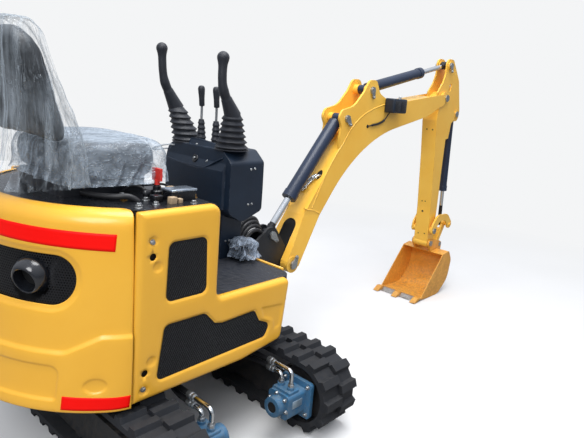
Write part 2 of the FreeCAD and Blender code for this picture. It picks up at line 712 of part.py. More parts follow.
def side_cover(side):
    face = -size.half_width
    wall = size.cover_wall
    skin = outline_prism(COVER_OUTLINE, 0, face, face + size.cover_depth)
    inside = outline_prism(COVER_OUTLINE, wall, face + wall, face + size.cover_depth + 1)
    skin = skin.makeFillet(COVER_ROUND, [edge for edge in skin.Edges if edge.BoundBox.YMax < face + 0.01])
    inside = inside.makeFillet(COVER_ROUND - wall, [edge for edge in inside.Edges
                                                    if edge.BoundBox.YMax < face + wall + 0.01])
    cover = skin.cut(inside)
    for outline in (UPPER_GRILLE, LOWER_GRILLE):
        cover = cover.cut(outline_prism(outline, 0, face - 1, face + wall + 1))
    for x, z in COVER_HOLES:
        cover = cover.cut(Part.makeCylinder(size.cover_hole, wall + 2, Vector(x, face - 1, z), Vector(0, 1, 0)))
    return mirrored(cover, side)


shape("side_cover_right", side_cover(-1))
shape("side_cover_left", side_cover(1))

grilles = []
for side in (-1, 1):
    for outline in (UPPER_GRILLE, LOWER_GRILLE):
        low = -size.half_width + size.cover_wall
        grilles.append(mirrored(outline_prism(outline, -7, low, low + 2.5), side))
shape("side_grilles", Part.makeCompound(grilles))

platform = Piece("platform")
PLATE_TOP = size.slew_top + size.platform_plate
platform.pad("XY", "slew_top", "slew_top + platform_plate", rounded([
    (-640, -150, 150), (-520, -330, 90), (-380, -424), (292, -424, 60), (292, 424, 60), (-380, 424),
    (-520, 330, 90), (-640, 150, 150)]))
FLOOR_PLATE = size.floor_height - 30
for y_low, y_high in ((-424, -412), (-170, -158), (158, 170), (412, 424)):
    platform.pad("XY", PLATE_TOP - 1, FLOOR_PLATE + 1, rectangle(-88, 230, y_low, y_high))
platform.pad("XY", PLATE_TOP - 1, FLOOR_PLATE + 1, rectangle(222, 234, -424, -40))
platform.pad("XY", PLATE_TOP - 1, FLOOR_PLATE + 1, rectangle(222, 234, 40, 424))
platform.pad("XY", FLOOR_PLATE, FLOOR_PLATE + 12, rounded(
    [(-88, -424), (size.floor_front - 8, -424, 60), (size.floor_front - 8, -38), (120, -38), (120, 38),
     (size.floor_front - 8, 38), (size.floor_front - 8, 424, 60), (-88, 424)]))

Piece("floor_mat").pad("XY", FLOOR_PLATE + 12, size.floor_height - 4, rounded(
    [(-88, -425), (size.floor_front - 10, -425, 60), (size.floor_front - 10, -39), (118, -39), (118, 39),
     (size.floor_front - 10, 39), (size.floor_front - 10, 425, 60), (-88, 425)]))

front_trim = Piece("front_trim")
TRIM_BACK, TRIM_FACE = size.floor_front - 8, size.floor_front + 5
for side in (-1, 1):
    front_trim.pad("XY", FLOOR_PLATE - 40, size.floor_height, rounded([
        (TRIM_BACK, side * 360), (TRIM_FACE, side * 364, 6), (TRIM_FACE, side * 42), (TRIM_BACK, side * 42)]))

DECK = inset(HEAD, SHOULDER + 1)
DECK_TOP = size.deck_height - size.cover_wall
DECK_EDGE = tail_wire(size.half_width - size.cover_depth - 0.5, DECK[1], DECK[2], 78, -size.step_back - 2)
shape("deck_plate", plan_prism(DECK_EDGE, DECK_TOP - 10, DECK_TOP))

seat_base = Piece("seat_base")
seat_base.pad("XY", PLATE_TOP, DECK_TOP - 10, rectangle(-370, -size.step_back - 3, -424, 424))
seat_base.cut("XY", PLATE_TOP - 1, DECK_TOP - 14, rectangle(-371, -size.step_back - 7, -420, 420))

together("engine_block", "Part::MultiFuse", [
    block("crankcase", (-600, -160, PLATE_TOP), (-390, 190, 560)),
    block("cylinder_head", (-560, -120, 550), (-420, 150, 640)),
])
MUFFLER = (-490, EXHAUST_HEIGHT)
together("exhaust_muffler", "Part::MultiFuse", [
    drum("muffler_can", "Y", -270, MUFFLER, 59.7, 330),
    drum("muffler_outlet", "X", -618, (-238, EXHAUST_HEIGHT), 27, 110),
])


# Seat, console and controls

SEAT_FOOT = DECK_TOP + 55
SEAT_HALF = size.seat_width / 2
CUSHION_HEIGHT = 105
BACK_HEIGHT = 340
CUSHION_TOP = SEAT_FOOT + CUSHION_HEIGHT
BACK_TOP = CUSHION_TOP + BACK_HEIGHT
Piece("seat_rails").pad("XY", DECK_TOP, SEAT_FOOT, rectangle(-470, -170, -150, 150, 20))
Piece("seat_cushion").pad("XZ", -SEAT_HALF, SEAT_HALF, rounded([
    (-480, SEAT_FOOT, 30), (-150, SEAT_FOOT, 40), (-140, CUSHION_TOP + 15, 35), (-430, CUSHION_TOP, 20),
    (-480, CUSHION_TOP, 10)]))
# Seat back in side view and in rear view
BACK_SIDE_VIEW = [
    (-520, CUSHION_TOP, 10), (-440, CUSHION_TOP, 10), (-552, BACK_TOP - 10, 25), (-622, BACK_TOP - 2, 30),
]
BACK_REAR_VIEW = [
    (-SEAT_HALF, CUSHION_TOP, 12), (SEAT_HALF, CUSHION_TOP, 12), (SEAT_HALF, BACK_TOP, 85), (-SEAT_HALF, BACK_TOP, 85),
]
shape("seat_back", prism(rounded(BACK_SIDE_VIEW), -SEAT_HALF, SEAT_HALF).common(
    across_x(rounded(BACK_REAR_VIEW), -640, -400)))

# Lever boots: foot x, y and radius, then top x, y, z and radius
BIG_BOOT = (220, 132, size.boot_radius, 174, 176, 1164, 28)
SMALL_BOOT = (210, 45, 22, 206, 46, 1126, 11)
# Console seen from the rear: y, z, corner radius
CONSOLE_REAR_VIEW = [
    (-size.console_half, 740), (-size.console_half, 985, 20), (-150, size.console_top, 25),
    (150, size.console_top, 25), (size.console_half, 985, 20), (size.console_half, 740),
]
# Console seen from the side: x, z, corner radius
CONSOLE_SIDE_VIEW = [(160, 1100), (330, 1100), (337, 790, 25), (229, 750, 40), (160, 790, 30)]
# Dash in front of the seat, in rear view and in plan
DASH_REAR_VIEW = [
    (-199, 800), (-203, 985, 50), (-110, 1040, 160), (40, 1056, 400), (170, 1040, 160), (236, 985, 50), (232, 800),
]
DASH_PLAN = [(150, -160, 20), (168, -203, 30), (190, -60, 140), (190, 120, 140), (168, 236, 30), (150, 200, 20)]
DASH_SLOPE = [(100, 950), (151, 950), (181, 1046), (181, 1100), (100, 1100)]
COLUMN = (190, 296, 128)


def console():
    """The control console: a chamfered box, the dash in front of the seat and the column under them."""
    body = across_x(rounded(CONSOLE_REAR_VIEW), 160, 335).common(prism(rounded(CONSOLE_SIDE_VIEW), -300, 300))
    dash = across_x(rounded(DASH_REAR_VIEW), 140, 240)
    dash = dash.common(plan_prism(closed(DASH_PLAN), 700, 1100)).cut(prism(rounded(DASH_SLOPE), -300, 300))
    for side in (-1, 1):
        for foot_x, foot_y, radius in (BIG_BOOT[:3], SMALL_BOOT[:3]):
            dash = dash.cut(Part.makeCylinder(radius + 3, 100, Vector(foot_x, side * foot_y, size.console_top - 2)))
    rear, front, half = COLUMN
    column = Part.makeBox(front - rear, 2 * half, 200, Vector(rear, -half, size.floor_height - 4))
    return shape("console", body.fuse(dash).fuse(column))


console()

# Operating levers: bend and knob, x, y, z each, on the left and on the right
LEVERS = [(1, (110, 180, 1272), (101, 180, 1402)), (-1, (112, 180, 1262), (113, 180, 1374))]


def ring(centre, radius, along):
    return Part.Wire(Part.makeCircle(radius, centre, along))


def boot(ridges, side, x, y, radius, top_x, top_y, top_z, top_radius):
    """A rubber bellows that leans from its foot to its lever."""
    foot = Vector(x, side * y, size.console_top)
    rise = Vector(top_x, side * top_y, top_z) - foot
    rings = []
    for step in range(2 * ridges + 1):
        share = step / (2 * ridges)
        waist = radius + (top_radius - radius) * share
        if step % 2:
            waist *= 0.82
        rings.append(ring(foot + rise * share, waist, Vector(0, 0, 1)))
    return Part.makeLoft(rings, True, True)


def lever(side, bend, knob):
    """An operating lever: a neck that narrows to the bend, a stem and a round knob."""
    foot = Vector(BIG_BOOT[3], side * BIG_BOOT[4], BIG_BOOT[5])
    corner = Vector(bend[0], side * bend[1], bend[2])
    top = Vector(knob[0], side * knob[1], knob[2])
    line = (corner - foot).normalize()
    neck = Part.makeLoft([ring(foot, 26, Vector(0, 0, 1)), ring(foot + line * 60, 19, line)], True, True)
    stem = bent_pipe([foot + line * 55, corner, top], 16, 60)
    return neck.fuse(stem).fuse(Part.makeSphere(23, top))


def travel_lever(side):
    """A travel lever: a bare rod with a grip."""
    foot = Vector(SMALL_BOOT[3], side * SMALL_BOOT[4], SMALL_BOOT[5])
    lean = Vector(-10, 0, 110).normalize()
    stick = Part.makeCylinder(5, 60, foot, Vector(0, 0, 1))
    grip = Part.makeCone(11, 14, 64, foot + Vector(0, 0, 54), lean)
    return stick.fuse(grip).fuse(Part.makeSphere(14, foot + Vector(0, 0, 54) + lean * 64))


lever_boots = []
control_levers = []
for side, bend, knob in LEVERS:
    lever_boots.append(boot(5, side, *BIG_BOOT))
    lever_boots.append(boot(4, side, *SMALL_BOOT))
    control_levers.append(lever(side, bend, knob))
    control_levers.append(travel_lever(side))
shape("lever_boots", Part.makeCompound(lever_boots))
shape("control_levers", Part.makeCompound(control_levers))

together("foot_pedal", "Part::MultiFuse", [
    block("pedal_stand", (262, -190, 586), (288, -160, 650)),
    block("pedal_plate", (226, -222, 646), (306, -134, 656)),
    block("pedal_foot", (240, -205, 586), (300, -145, 598)),
])

together("deck_fittings", "Part::Compound", [
    drum("filler_cap", "Z", DECK_TOP, (-112, -262), 26, 30),
    drum("breather", "Z", DECK_TOP, (-150, -330), 14, 22),
    drum("test_port", "Z", DECK_TOP, (-215, -345), 10, 26),
    drum("valve_port", "Z", DECK_TOP, (-260, -320), 12, 30),
    drum("switch_body", "Z", DECK_TOP, (-196, -250), 20, 36),
])
together("isolator_key", "Part::MultiFuse", [
    drum("key_stem", "Z", DECK_TOP + 36, (-196, -250), 9, 20),
    block("key_bow", (-201, -272, DECK_TOP + 52), (-191, -228, DECK_TOP + 92)),
])


# Boom bracket on the platform

FOOT_PIN = (690, 459)
ROD_PIN = (585, 609)
BARREL_PIN = (1040, 1157)
ARM_BASE_PIN = (1234, 1308)
ARM_PIN = (2073, 1307)
ARM_ROD_PIN = (2096, 1508)
BUCKET_BASE_PIN = (2272, 1212)
BUCKET_PIN = (2124, 341)
ROCKER_PIN = (2120, 432)
LINK_PIN = (2338, 453)
BUCKET_LINK_PIN = (2262, 318)
EYE_GAP = size.eye_half + 3
OPEN_GAP = size.eye_half + 5


def hole(place, radius, low, high):
    """A cylinder across the machine at an (x, z) place, from one Y level to the other."""
    low, high = sorted((low, high))
    return Part.makeCylinder(radius, high - low, Vector(place[0], low, place[1]), Vector(0, 1, 0))


def plate(outline, side, inner, outer):
    """A plate with an X-Z outline on one side of the middle, from inner to outer."""
    low, high = sorted((side * inner, side * outer))
    return outline_prism(outline, 0, low, high)


def headed_pin(place, radius, reach, head=6):
    """A pin across the machine with a wider head at both ends."""
    pin = hole(place, radius, -reach - head, reach + head)
    for side in (-1, 1):
        pin = pin.fuse(hole(place, radius + 6, side * reach, side * (reach + head)))
    return pin


def open_pin(place, radius, inner, reach, head=6):
    """The two outer ends of a pin whose middle is left out, where a rod's eye moves."""
    ends = []
    for side in (-1, 1):
        ends.append(hole(place, radius, side * inner, side * (reach + head)).fuse(
            hole(place, radius + 6, side * reach, side * (reach + head))))
    return ends


BRACKET_OUTLINE = [
    (130, PLATE_TOP), (300, PLATE_TOP, 60), (560, 372, 120), (690, 417, 20), (732, 440, 30), (728, 478, 30),
    (625, 616, 30), (600, 648, 30), (560, 646, 30), (470, 584, 60), (300, 578, 20), (130, 540),
]


def boom_bracket():
    half = size.bracket_half
    solid = outline_prism(BRACKET_OUTLINE, 0, -half, half)
    solid = solid.fuse(hole(FOOT_PIN, 42, -half, half)).fuse(hole(ROD_PIN, 36, -half, half))
    gap = outline_prism([(490, 505, 20), (640, 505, 20), (690, 740), (440, 740)], 0, -OPEN_GAP, OPEN_GAP)
    solid = solid.cut(gap)
    solid = solid.cut(hole(FOOT_PIN, PIN + size.running_gap, -half - 1, half + 1))
    solid = solid.cut(hole(ROD_PIN, EYE_BORE, -half - 1, half + 1))
    return shape("boom_bracket", solid)


boom_bracket()
shape("bracket_pins", Part.makeCompound(
    [headed_pin(FOOT_PIN, PIN, size.boom_foot_half + 2)] + open_pin(ROD_PIN, EYE_PIN, OPEN_GAP, size.bracket_half)))


# Boom

BOOM_OUTLINE = [
    (770, 691), (1146, 1204, 560), (2080, 1336, 26), (2050, 1262, 26), (1990, 1245, 60), (1847, 1187, 120),
    (1173, 1043, 900), (890, 675),
]
BOOM_EARS = [
    (1000, 990), (994, 1060, 60), (1000, 1120, 30), (976, 1160, 30), (996, 1198, 30), (1095, 1222, 120),
    (1170, 1300, 60), (1205, 1358, 40), (1268, 1362, 36), (1310, 1295, 50), (1400, 1262, 60), (1440, 1230),
    (1220, 1150), (1100, 1060),
]
FORK_TOP = ((770, 691), (890, 675))
FORK_FOOT = ((652, 476), (733, 442))
FORK_CROWN = (752, 664)
TIP_SLOT = 1864


def section(corners, half):
    """A closed cross-section of the boom's foot: its rear and front corner lines, at a half width."""
    (rear_x, rear_z), (front_x, front_z) = corners
    return Part.makePolygon([
        Vector(rear_x, -half, rear_z), Vector(rear_x, half, rear_z), Vector(front_x, half, front_z),
        Vector(front_x, -half, front_z), Vector(rear_x, -half, rear_z)])


def boom_fork():
    """The boom's foot: it widens downward and is cut out for the bracket under a round crown."""
    leg = Part.makeLoft([section(FORK_TOP, size.boom_half), section(FORK_FOOT, size.boom_foot_half)], True, True)
    leg = leg.fuse(hole(FOOT_PIN, 41, -size.boom_foot_half, size.boom_foot_half))
    notch = size.bracket_half + size.fork_gap
    run = Vector(FOOT_PIN[0] - 790, 0, FOOT_PIN[1] - 720).normalize()
    through = Vector(-run.z, 0, run.x)
    crown = Vector(FORK_CROWN[0], 0, FORK_CROWN[1]) + run * notch
    leg = leg.cut(Part.makeCylinder(notch, 400, crown - through * 200, through))
    across = Vector(0, notch, 0)
    mouth = polygon([crown - across - through * 200, crown + across - through * 200,
                     crown + across + through * 200, crown - across + through * 200])
    return leg.cut(mouth.extrude(run * 400))


def boom():
    half = size.boom_half
    wall = size.plate_wall
    solid = outline_prism(BOOM_OUTLINE, 0, -half, half)
    hollow = outline_prism(BOOM_OUTLINE, wall, -half + wall, half - wall)
    hollow = hollow.cut(Part.makeBox(600, 400, 600, Vector(TIP_SLOT - wall - 2, -200, 1000)))
    solid = solid.cut(hollow).fuse(boom_fork())
    for side in (-1, 1):
        solid = solid.fuse(plate(BOOM_EARS, side, half - 12, half))
        for place in (BARREL_PIN, ARM_BASE_PIN):
            solid = solid.fuse(hole(place, 25, side * EYE_GAP, side * half))
    slot = size.arm_half + size.fork_gap
    tip = [(TIP_SLOT, 1100), (2200, 1100), (2200, 1450), (TIP_SLOT + 40, 1450)]
    solid = solid.cut(outline_prism(tip, 0, -slot, slot))
    for place, radius in ((FOOT_PIN, PIN), (BARREL_PIN, EYE_PIN), (ARM_BASE_PIN, EYE_PIN), (ARM_PIN, PIN)):
        solid = solid.cut(hole(place, radius + size.running_gap, -120, 120))
    return shape("boom", solid)


boom()
shape("boom_pins", Part.makeCompound([
    headed_pin(BARREL_PIN, EYE_PIN, size.boom_half),
    headed_pin(ARM_BASE_PIN, EYE_PIN, size.boom_half),
    headed_pin(ARM_PIN, PIN, size.boom_half),
]))
LAMP_X = (1368, 1493)
LAMP_Z = (1203, 1272)
work_lamp = [
    block("lamp_box", (LAMP_X[0], "-boom_half - 54", LAMP_Z[0]), (LAMP_X[1], "-boom_half - 12", LAMP_Z[1])),
    block("lamp_rim", (LAMP_X[0] - 5, "-boom_half - 62", LAMP_Z[0] - 4),
          (LAMP_X[1] + 5, "-boom_half - 52", LAMP_Z[1] + 4)),
    block("lamp_foot", (1412, "-boom_half - 13", 1208), (1450, "-boom_half", 1240)),
]
for rib in range(7):
    rib_x = LAMP_X[0] + 10 + 16 * rib
    work_lamp.append(block("lamp_rib_%d" % rib, (rib_x, "-boom_half - 50", LAMP_Z[0] - 4),
                           (rib_x + 6, "-boom_half - 16", LAMP_Z[1] + 4)))
together("work_lamp", "Part::MultiFuse", work_lamp)


# Arm with its bucket linkage

ARM_OUTLINE = [
    (2099, 330, 10), (2081, 591), (2033, 944), (1995, 1167, 30), (2012, 1318, 40), (2060, 1346, 30), (2107, 1338, 30),
    (2226, 1222, 20), (2240, 1178, 12), (2200, 1150, 15), (2186, 1051), (2152, 1046), (2158, 840), (2170, 600),
    (2172, 322, 14),
]
ARM_EARS = [
    (1990, 1300), (1984, 1338, 16), (2035, 1394, 40), (2060, 1454, 60), (2054, 1549, 40), (2138, 1549, 40),
    (2250, 1425, 60), (2318, 1235, 30), (2308, 1165, 36), (2236, 1165, 36), (2150, 1180),
]
ARM_WINDOW = [(2118, 1352, 8), (2150, 1352, 8), (2158, 1400, 10), (2134, 1400, 10)]
EAR_INNER = 28
EAR_OUTER = 38


def arm():
    half = size.arm_half
    wall = size.plate_wall
    solid = outline_prism(ARM_OUTLINE, 0, -half, half)
    solid = solid.cut(outline_prism(ARM_OUTLINE, wall, -half + wall, half - wall))
    for place, radius in ((BUCKET_PIN, 30), (ROCKER_PIN, 26), (ARM_PIN, 34)):
        solid = solid.fuse(hole(place, radius, -half, half))
    for side in (-1, 1):
        ear = plate(ARM_EARS, side, EAR_INNER, EAR_OUTER)
        ear = ear.cut(plate(ARM_WINDOW, side, EAR_INNER - 1, EAR_OUTER + 1))
        ear = ear.fuse(hole(BUCKET_BASE_PIN, 25, side * EYE_GAP, side * (EAR_OUTER + 6)))
        ear = ear.fuse(hole(ARM_ROD_PIN, 25, side * OPEN_GAP, side * (EAR_OUTER + 6)))
        solid = solid.fuse(ear)
    for place, radius in ((ARM_PIN, PIN), (BUCKET_PIN, EYE_PIN), (ROCKER_PIN, EYE_PIN), (BUCKET_BASE_PIN, EYE_PIN),
                          (ARM_ROD_PIN, EYE_PIN)):
        solid = solid.cut(hole(place, radius + size.running_gap, -90, 90))
    return shape("arm", solid)


arm()
PLATE_INNER = size.arm_half + size.fork_gap
EAR_REACH = PLATE_INNER + 11
ROCKER_INNER = EAR_REACH + 3
ROCKER_OUTER = ROCKER_INNER + 12
shape("arm_pins", Part.makeCompound(
    [headed_pin(BUCKET_BASE_PIN, EYE_PIN, EAR_OUTER + 6), headed_pin(ROCKER_PIN, EYE_PIN, ROCKER_OUTER)]
    + open_pin(ARM_ROD_PIN, EYE_PIN, OPEN_GAP, EAR_OUTER + 6)))

cylinder_pair("boom_cylinder", "Y", BARREL_PIN, ROD_PIN, 34, 17, 506, 290)
cylinder_pair("arm_cylinder", "Y", ARM_BASE_PIN, ARM_ROD_PIN, 29, 14, 582, 240)
cylinder_pair("bucket_cylinder", "Y", BUCKET_BASE_PIN, LINK_PIN, 25, 12.5, 530, 240, 22)

ROCKER_OUTLINE = [
    (2094, 408, 20), (2094, 470, 60), (2150, 536, 70), (2290, 536, 80), (2362, 470, 24), (2356, 428, 22),
    (2318, 428, 20), (2276, 490, 50), (2190, 494, 60), (2148, 450, 40), (2144, 408, 20),
]


def rocker_links():
    solids = []
    for side in (-1, 1):
        solid = plate(ROCKER_OUTLINE, side, ROCKER_INNER, ROCKER_OUTER)
        solid = solid.fuse(hole(ROCKER_PIN, 24, side * PLATE_INNER, side * ROCKER_OUTER))
        solid = solid.cut(hole(ROCKER_PIN, EYE_BORE, side * (PLATE_INNER - 1), side * (ROCKER_OUTER + 1)))
        solids.append(solid.fuse(hole(LINK_PIN, EYE_PIN, side * OPEN_GAP, side * (ROCKER_OUTER + 6))))
    return shape("rocker_links", Part.makeCompound(solids))


rocker_links()
LINK_OUTER = size.arm_half - 10


def bucket_link():
    top = Vector(LINK_PIN[0], 0, LINK_PIN[1])
    low = Vector(BUCKET_LINK_PIN[0], 0, BUCKET_LINK_PIN[1])
    line = (low - top).normalize()
    beside = Vector(line.z, 0, -line.x) * 17

    def strap(start, end, inner, outer):
        face = polygon([start + beside, end + beside, end - beside, start - beside])
        face.translate(Vector(0, inner, 0))
        return face.extrude(Vector(0, outer - inner, 0))
    solid = strap(top + line * 45, low, -LINK_OUTER, LINK_OUTER).fuse(hole(BUCKET_LINK_PIN, 22, -LINK_OUTER, LINK_OUTER))
    for side in (-1, 1):
        inner, outer = sorted((side * OPEN_GAP, side * LINK_OUTER))
        solid = solid.fuse(strap(top, low, inner, outer)).fuse(hole(LINK_PIN, 22, inner, outer))
    solid = solid.cut(hole(LINK_PIN, EYE_BORE, -90, 90))
    solid = solid.cut(Part.makeCylinder(30, 2 * OPEN_GAP, top - Vector(0, OPEN_GAP, 0), Vector(0, 1, 0)))
    return shape("bucket_link", solid)


bucket_link()


# Bucket

BUCKET_OUTLINE = [
    (1912, 10), (1990, 3, 40), (2150, 3, 90), (2262, 90, 110), (2282, 225, 60), (2236, 292, 16), (2152, 280, 8),
]
BUCKET_MOUTH = [(1880, 18), (1934, 13), (2158, 266), (2110, 330)]
BUCKET_EARS = [
    (2150, 272), (2098, 330, 22), (2106, 367, 24), (2142, 367, 24), (2250, 345, 26), (2286, 326, 20), (2284, 250, 10),
    (2240, 270),
]


def bucket():
    half = size.bucket_width / 2
    wall = size.bucket_wall
    solid = outline_prism(BUCKET_OUTLINE, 0, -half, half)
    solid = solid.cut(outline_prism(BUCKET_OUTLINE, wall, -half + wall, half - wall))
    solid = solid.cut(outline_prism(BUCKET_MOUTH, 0, -half + wall, half - wall))
    for side in (-1, 1):
        solid = solid.fuse(plate(BUCKET_EARS, side, PLATE_INNER, EAR_REACH))
        solid = solid.fuse(hole(BUCKET_LINK_PIN, 20, side * (LINK_OUTER + 3), side * EAR_REACH))
    return shape("bucket", solid.cut(hole(BUCKET_PIN, EYE_BORE, -90, 90)))


bucket()
LIP_HALF = size.bucket_width / 2
shape("bucket_lip", outline_prism([(1864, 3), (1911.7, 3), (1911.7, 20), (1900, 20)], 0, -LIP_HALF, LIP_HALF))
TOOTH = [(1828, 4), (1863.7, 3), (1899.7, 20.3), (1899.7, 27), (1870, 30)]
bucket_teeth = []
for step in (-1, 0, 1):
    middle = step * size.tooth_pitch
    bucket_teeth.append(outline_prism(TOOTH, 0, middle - 19, middle + 19))
shape("bucket_teeth", Part.makeCompound(bucket_teeth))
shape("bucket_pins", Part.makeCompound([
    headed_pin(BUCKET_PIN, EYE_PIN, EAR_REACH),
    hole(BUCKET_LINK_PIN, 16, EAR_REACH, EAR_REACH + 2.5),
    hole(BUCKET_LINK_PIN, 16, -EAR_REACH, -EAR_REACH - 2.5),
]))


doc.recompute()
for thing in doc.Objects:
    if "Invalid" in thing.State or "Error" in thing.State:
        raise RuntimeError("%s failed: %s" % (thing.Name, thing.State))
for thing in KEPT:
    if thing.Shape.isNull() or not thing.Shape.isValid() or thing.Shape.Volume <= 0:
        raise RuntimeError("%s has no valid shape" % thing.Label)
os.makedirs("parts", exist_ok=True)
for thing in KEPT:
    thing.Shape.exportStep("parts/%s.step" % thing.Label)
    print(thing.Label, round(thing.Shape.Volume / 1e6, 3), "litres", len(thing.Shape.Solids), "solids")
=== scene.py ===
"""Looks of the mini excavator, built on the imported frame.

Every piece is in metres in the machine's own frame: origin on the ground under the slew axis, +X along
the boom, +Y to the operator's left, +Z up. Each operator builds one group of pieces.
"""

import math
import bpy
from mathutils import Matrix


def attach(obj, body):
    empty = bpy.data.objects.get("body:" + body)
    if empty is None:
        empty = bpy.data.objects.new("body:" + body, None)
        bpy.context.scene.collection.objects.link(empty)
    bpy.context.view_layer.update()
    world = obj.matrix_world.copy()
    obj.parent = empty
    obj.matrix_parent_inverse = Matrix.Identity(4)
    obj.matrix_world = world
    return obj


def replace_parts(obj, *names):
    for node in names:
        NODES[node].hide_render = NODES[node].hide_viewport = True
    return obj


bl_info = {
    "name": "Mini excavator looks",
    "version": (1, 0, 0),
    "blender": (4, 5, 0),
    "location": "3D View > Sidebar > Mini excavator",
    "description": "Builds the materials, soft parts, fittings and stage of the mini excavator",
    "category": "Object",
}

import bmesh
import bpy
import numpy
from bpy.props import FloatProperty, FloatVectorProperty, IntProperty, PointerProperty
from mathutils import Matrix, Vector, geometry, noise

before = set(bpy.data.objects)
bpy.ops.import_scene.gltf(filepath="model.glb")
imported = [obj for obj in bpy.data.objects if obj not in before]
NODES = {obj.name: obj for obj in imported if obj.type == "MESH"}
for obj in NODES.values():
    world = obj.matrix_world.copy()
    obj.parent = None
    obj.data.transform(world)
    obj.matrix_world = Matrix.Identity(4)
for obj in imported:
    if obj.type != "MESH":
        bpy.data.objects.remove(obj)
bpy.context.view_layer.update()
MATERIALS = {}


# Settings

class PaintSettings(bpy.types.PropertyGroup):
    """Paint, dust and edge values that the materials share."""
    bevel: FloatProperty(name="Edge radius", description="Radius that paint rounds off a plate's edge",
                         default=0.0016, unit="LENGTH")
    dust: FloatProperty(name="Dust", description="Share of dust on low and level faces", default=0.5,
                        subtype="FACTOR")


class SeatSettings(bpy.types.PropertyGroup):
    """Values of the seat cushions' simulation."""
    voxel: FloatProperty(name="Voxel", description="Cell of the cushion's remesh", default=0.007, unit="LENGTH")
    pressure: FloatProperty(name="Pressure", description="Cloth pressure that fills a cushion", default=4.0)
    frames: IntProperty(name="Frames", description="Frames that the cushion swells for", default=18)
    swell: FloatProperty(name="Swell limit", description="Farthest that a point of the cover may move",
                         default=0.012, unit="LENGTH")


class GrilleSettings(bpy.types.PropertyGroup):
    """Sizes of the side grilles' expanded metal and the tail's perforated sheet."""
    pitch: FloatProperty(name="Strand pitch", description="Distance between strands", default=0.0078, unit="LENGTH")
    strand: FloatProperty(name="Strand", description="Width of a strand", default=0.0011, unit="LENGTH")
    slant: FloatProperty(name="Slant", description="Strand's angle to the horizontal", default=math.radians(62),
                         subtype="ANGLE")
    hole_pitch: FloatProperty(name="Hole pitch", description="Distance between the tail sheet's holes",
                              default=0.0085, unit="LENGTH")


class StageSettings(bpy.types.PropertyGroup):
    """Camera and light values."""
    eye: FloatVectorProperty(name="Camera place", description="Where the camera stands",
                             default=(-1.183, -1.711, 1.258), unit="LENGTH")
    lens: FloatProperty(name="Lens", description="Focal length in millimetres on a 36 mm sensor", default=33.288)
    sky: FloatProperty(name="Sky", description="Strength of the light from all round", default=1.05)
    key: FloatProperty(name="Key light", description="Power of the large soft light overhead", default=158.0)


# Shaders

def linear(text, alpha=1.0):
    """An sRGB hex colour as linear RGBA."""
    values = []
    for start in (1, 3, 5):
        share = int(text[start:start + 2], 16) / 255
        values.append(share / 12.92 if share <= 0.04045 else ((share + 0.055) / 1.055) ** 2.4)
    return values + [alpha]


class Shader:
    """A material's node tree, filled through one function."""

    def __init__(self, name):
        self.material = bpy.data.materials.new(name)
        self.material.use_nodes = True
        self.tree = self.material.node_tree
        self.tree.nodes.clear()
        MATERIALS[name] = self.material

    def add(self, kind, inputs=None, output=0, **settings):
        """Adds a node with its settings, links or sets its inputs, and returns one output."""
        node = self.tree.nodes.new("ShaderNode" + kind)
        for name, value in settings.items():
            setattr(node, name, value)
        for name, value in (inputs or {}).items():
            if isinstance(value, bpy.types.NodeSocket):
                self.tree.links.new(value, node.inputs[name])
            else:
                node.inputs[name].default_value = value
        return node.outputs[output] if len(node.outputs) else None

    def share(self, value, low, high, to_low=0.0, to_high=1.0):
        """A value mapped from one range to another."""
        return self.add("MapRange", {"Value": value, "From Min": low, "From Max": high,
                                     "To Min": to_low, "To Max": to_high})

    def blend(self, factor, first, second):
        """A colour between two."""
        return self.add("Mix", {0: factor, 6: first, 7: second}, 2, data_type="RGBA")

    def math(self, operation, first, second=0.5):
        return self.add("Math", {0: first, 1: second}, operation=operation)

    def finish(self, surface):
        self.add("OutputMaterial", {"Surface": surface})
        return self.material


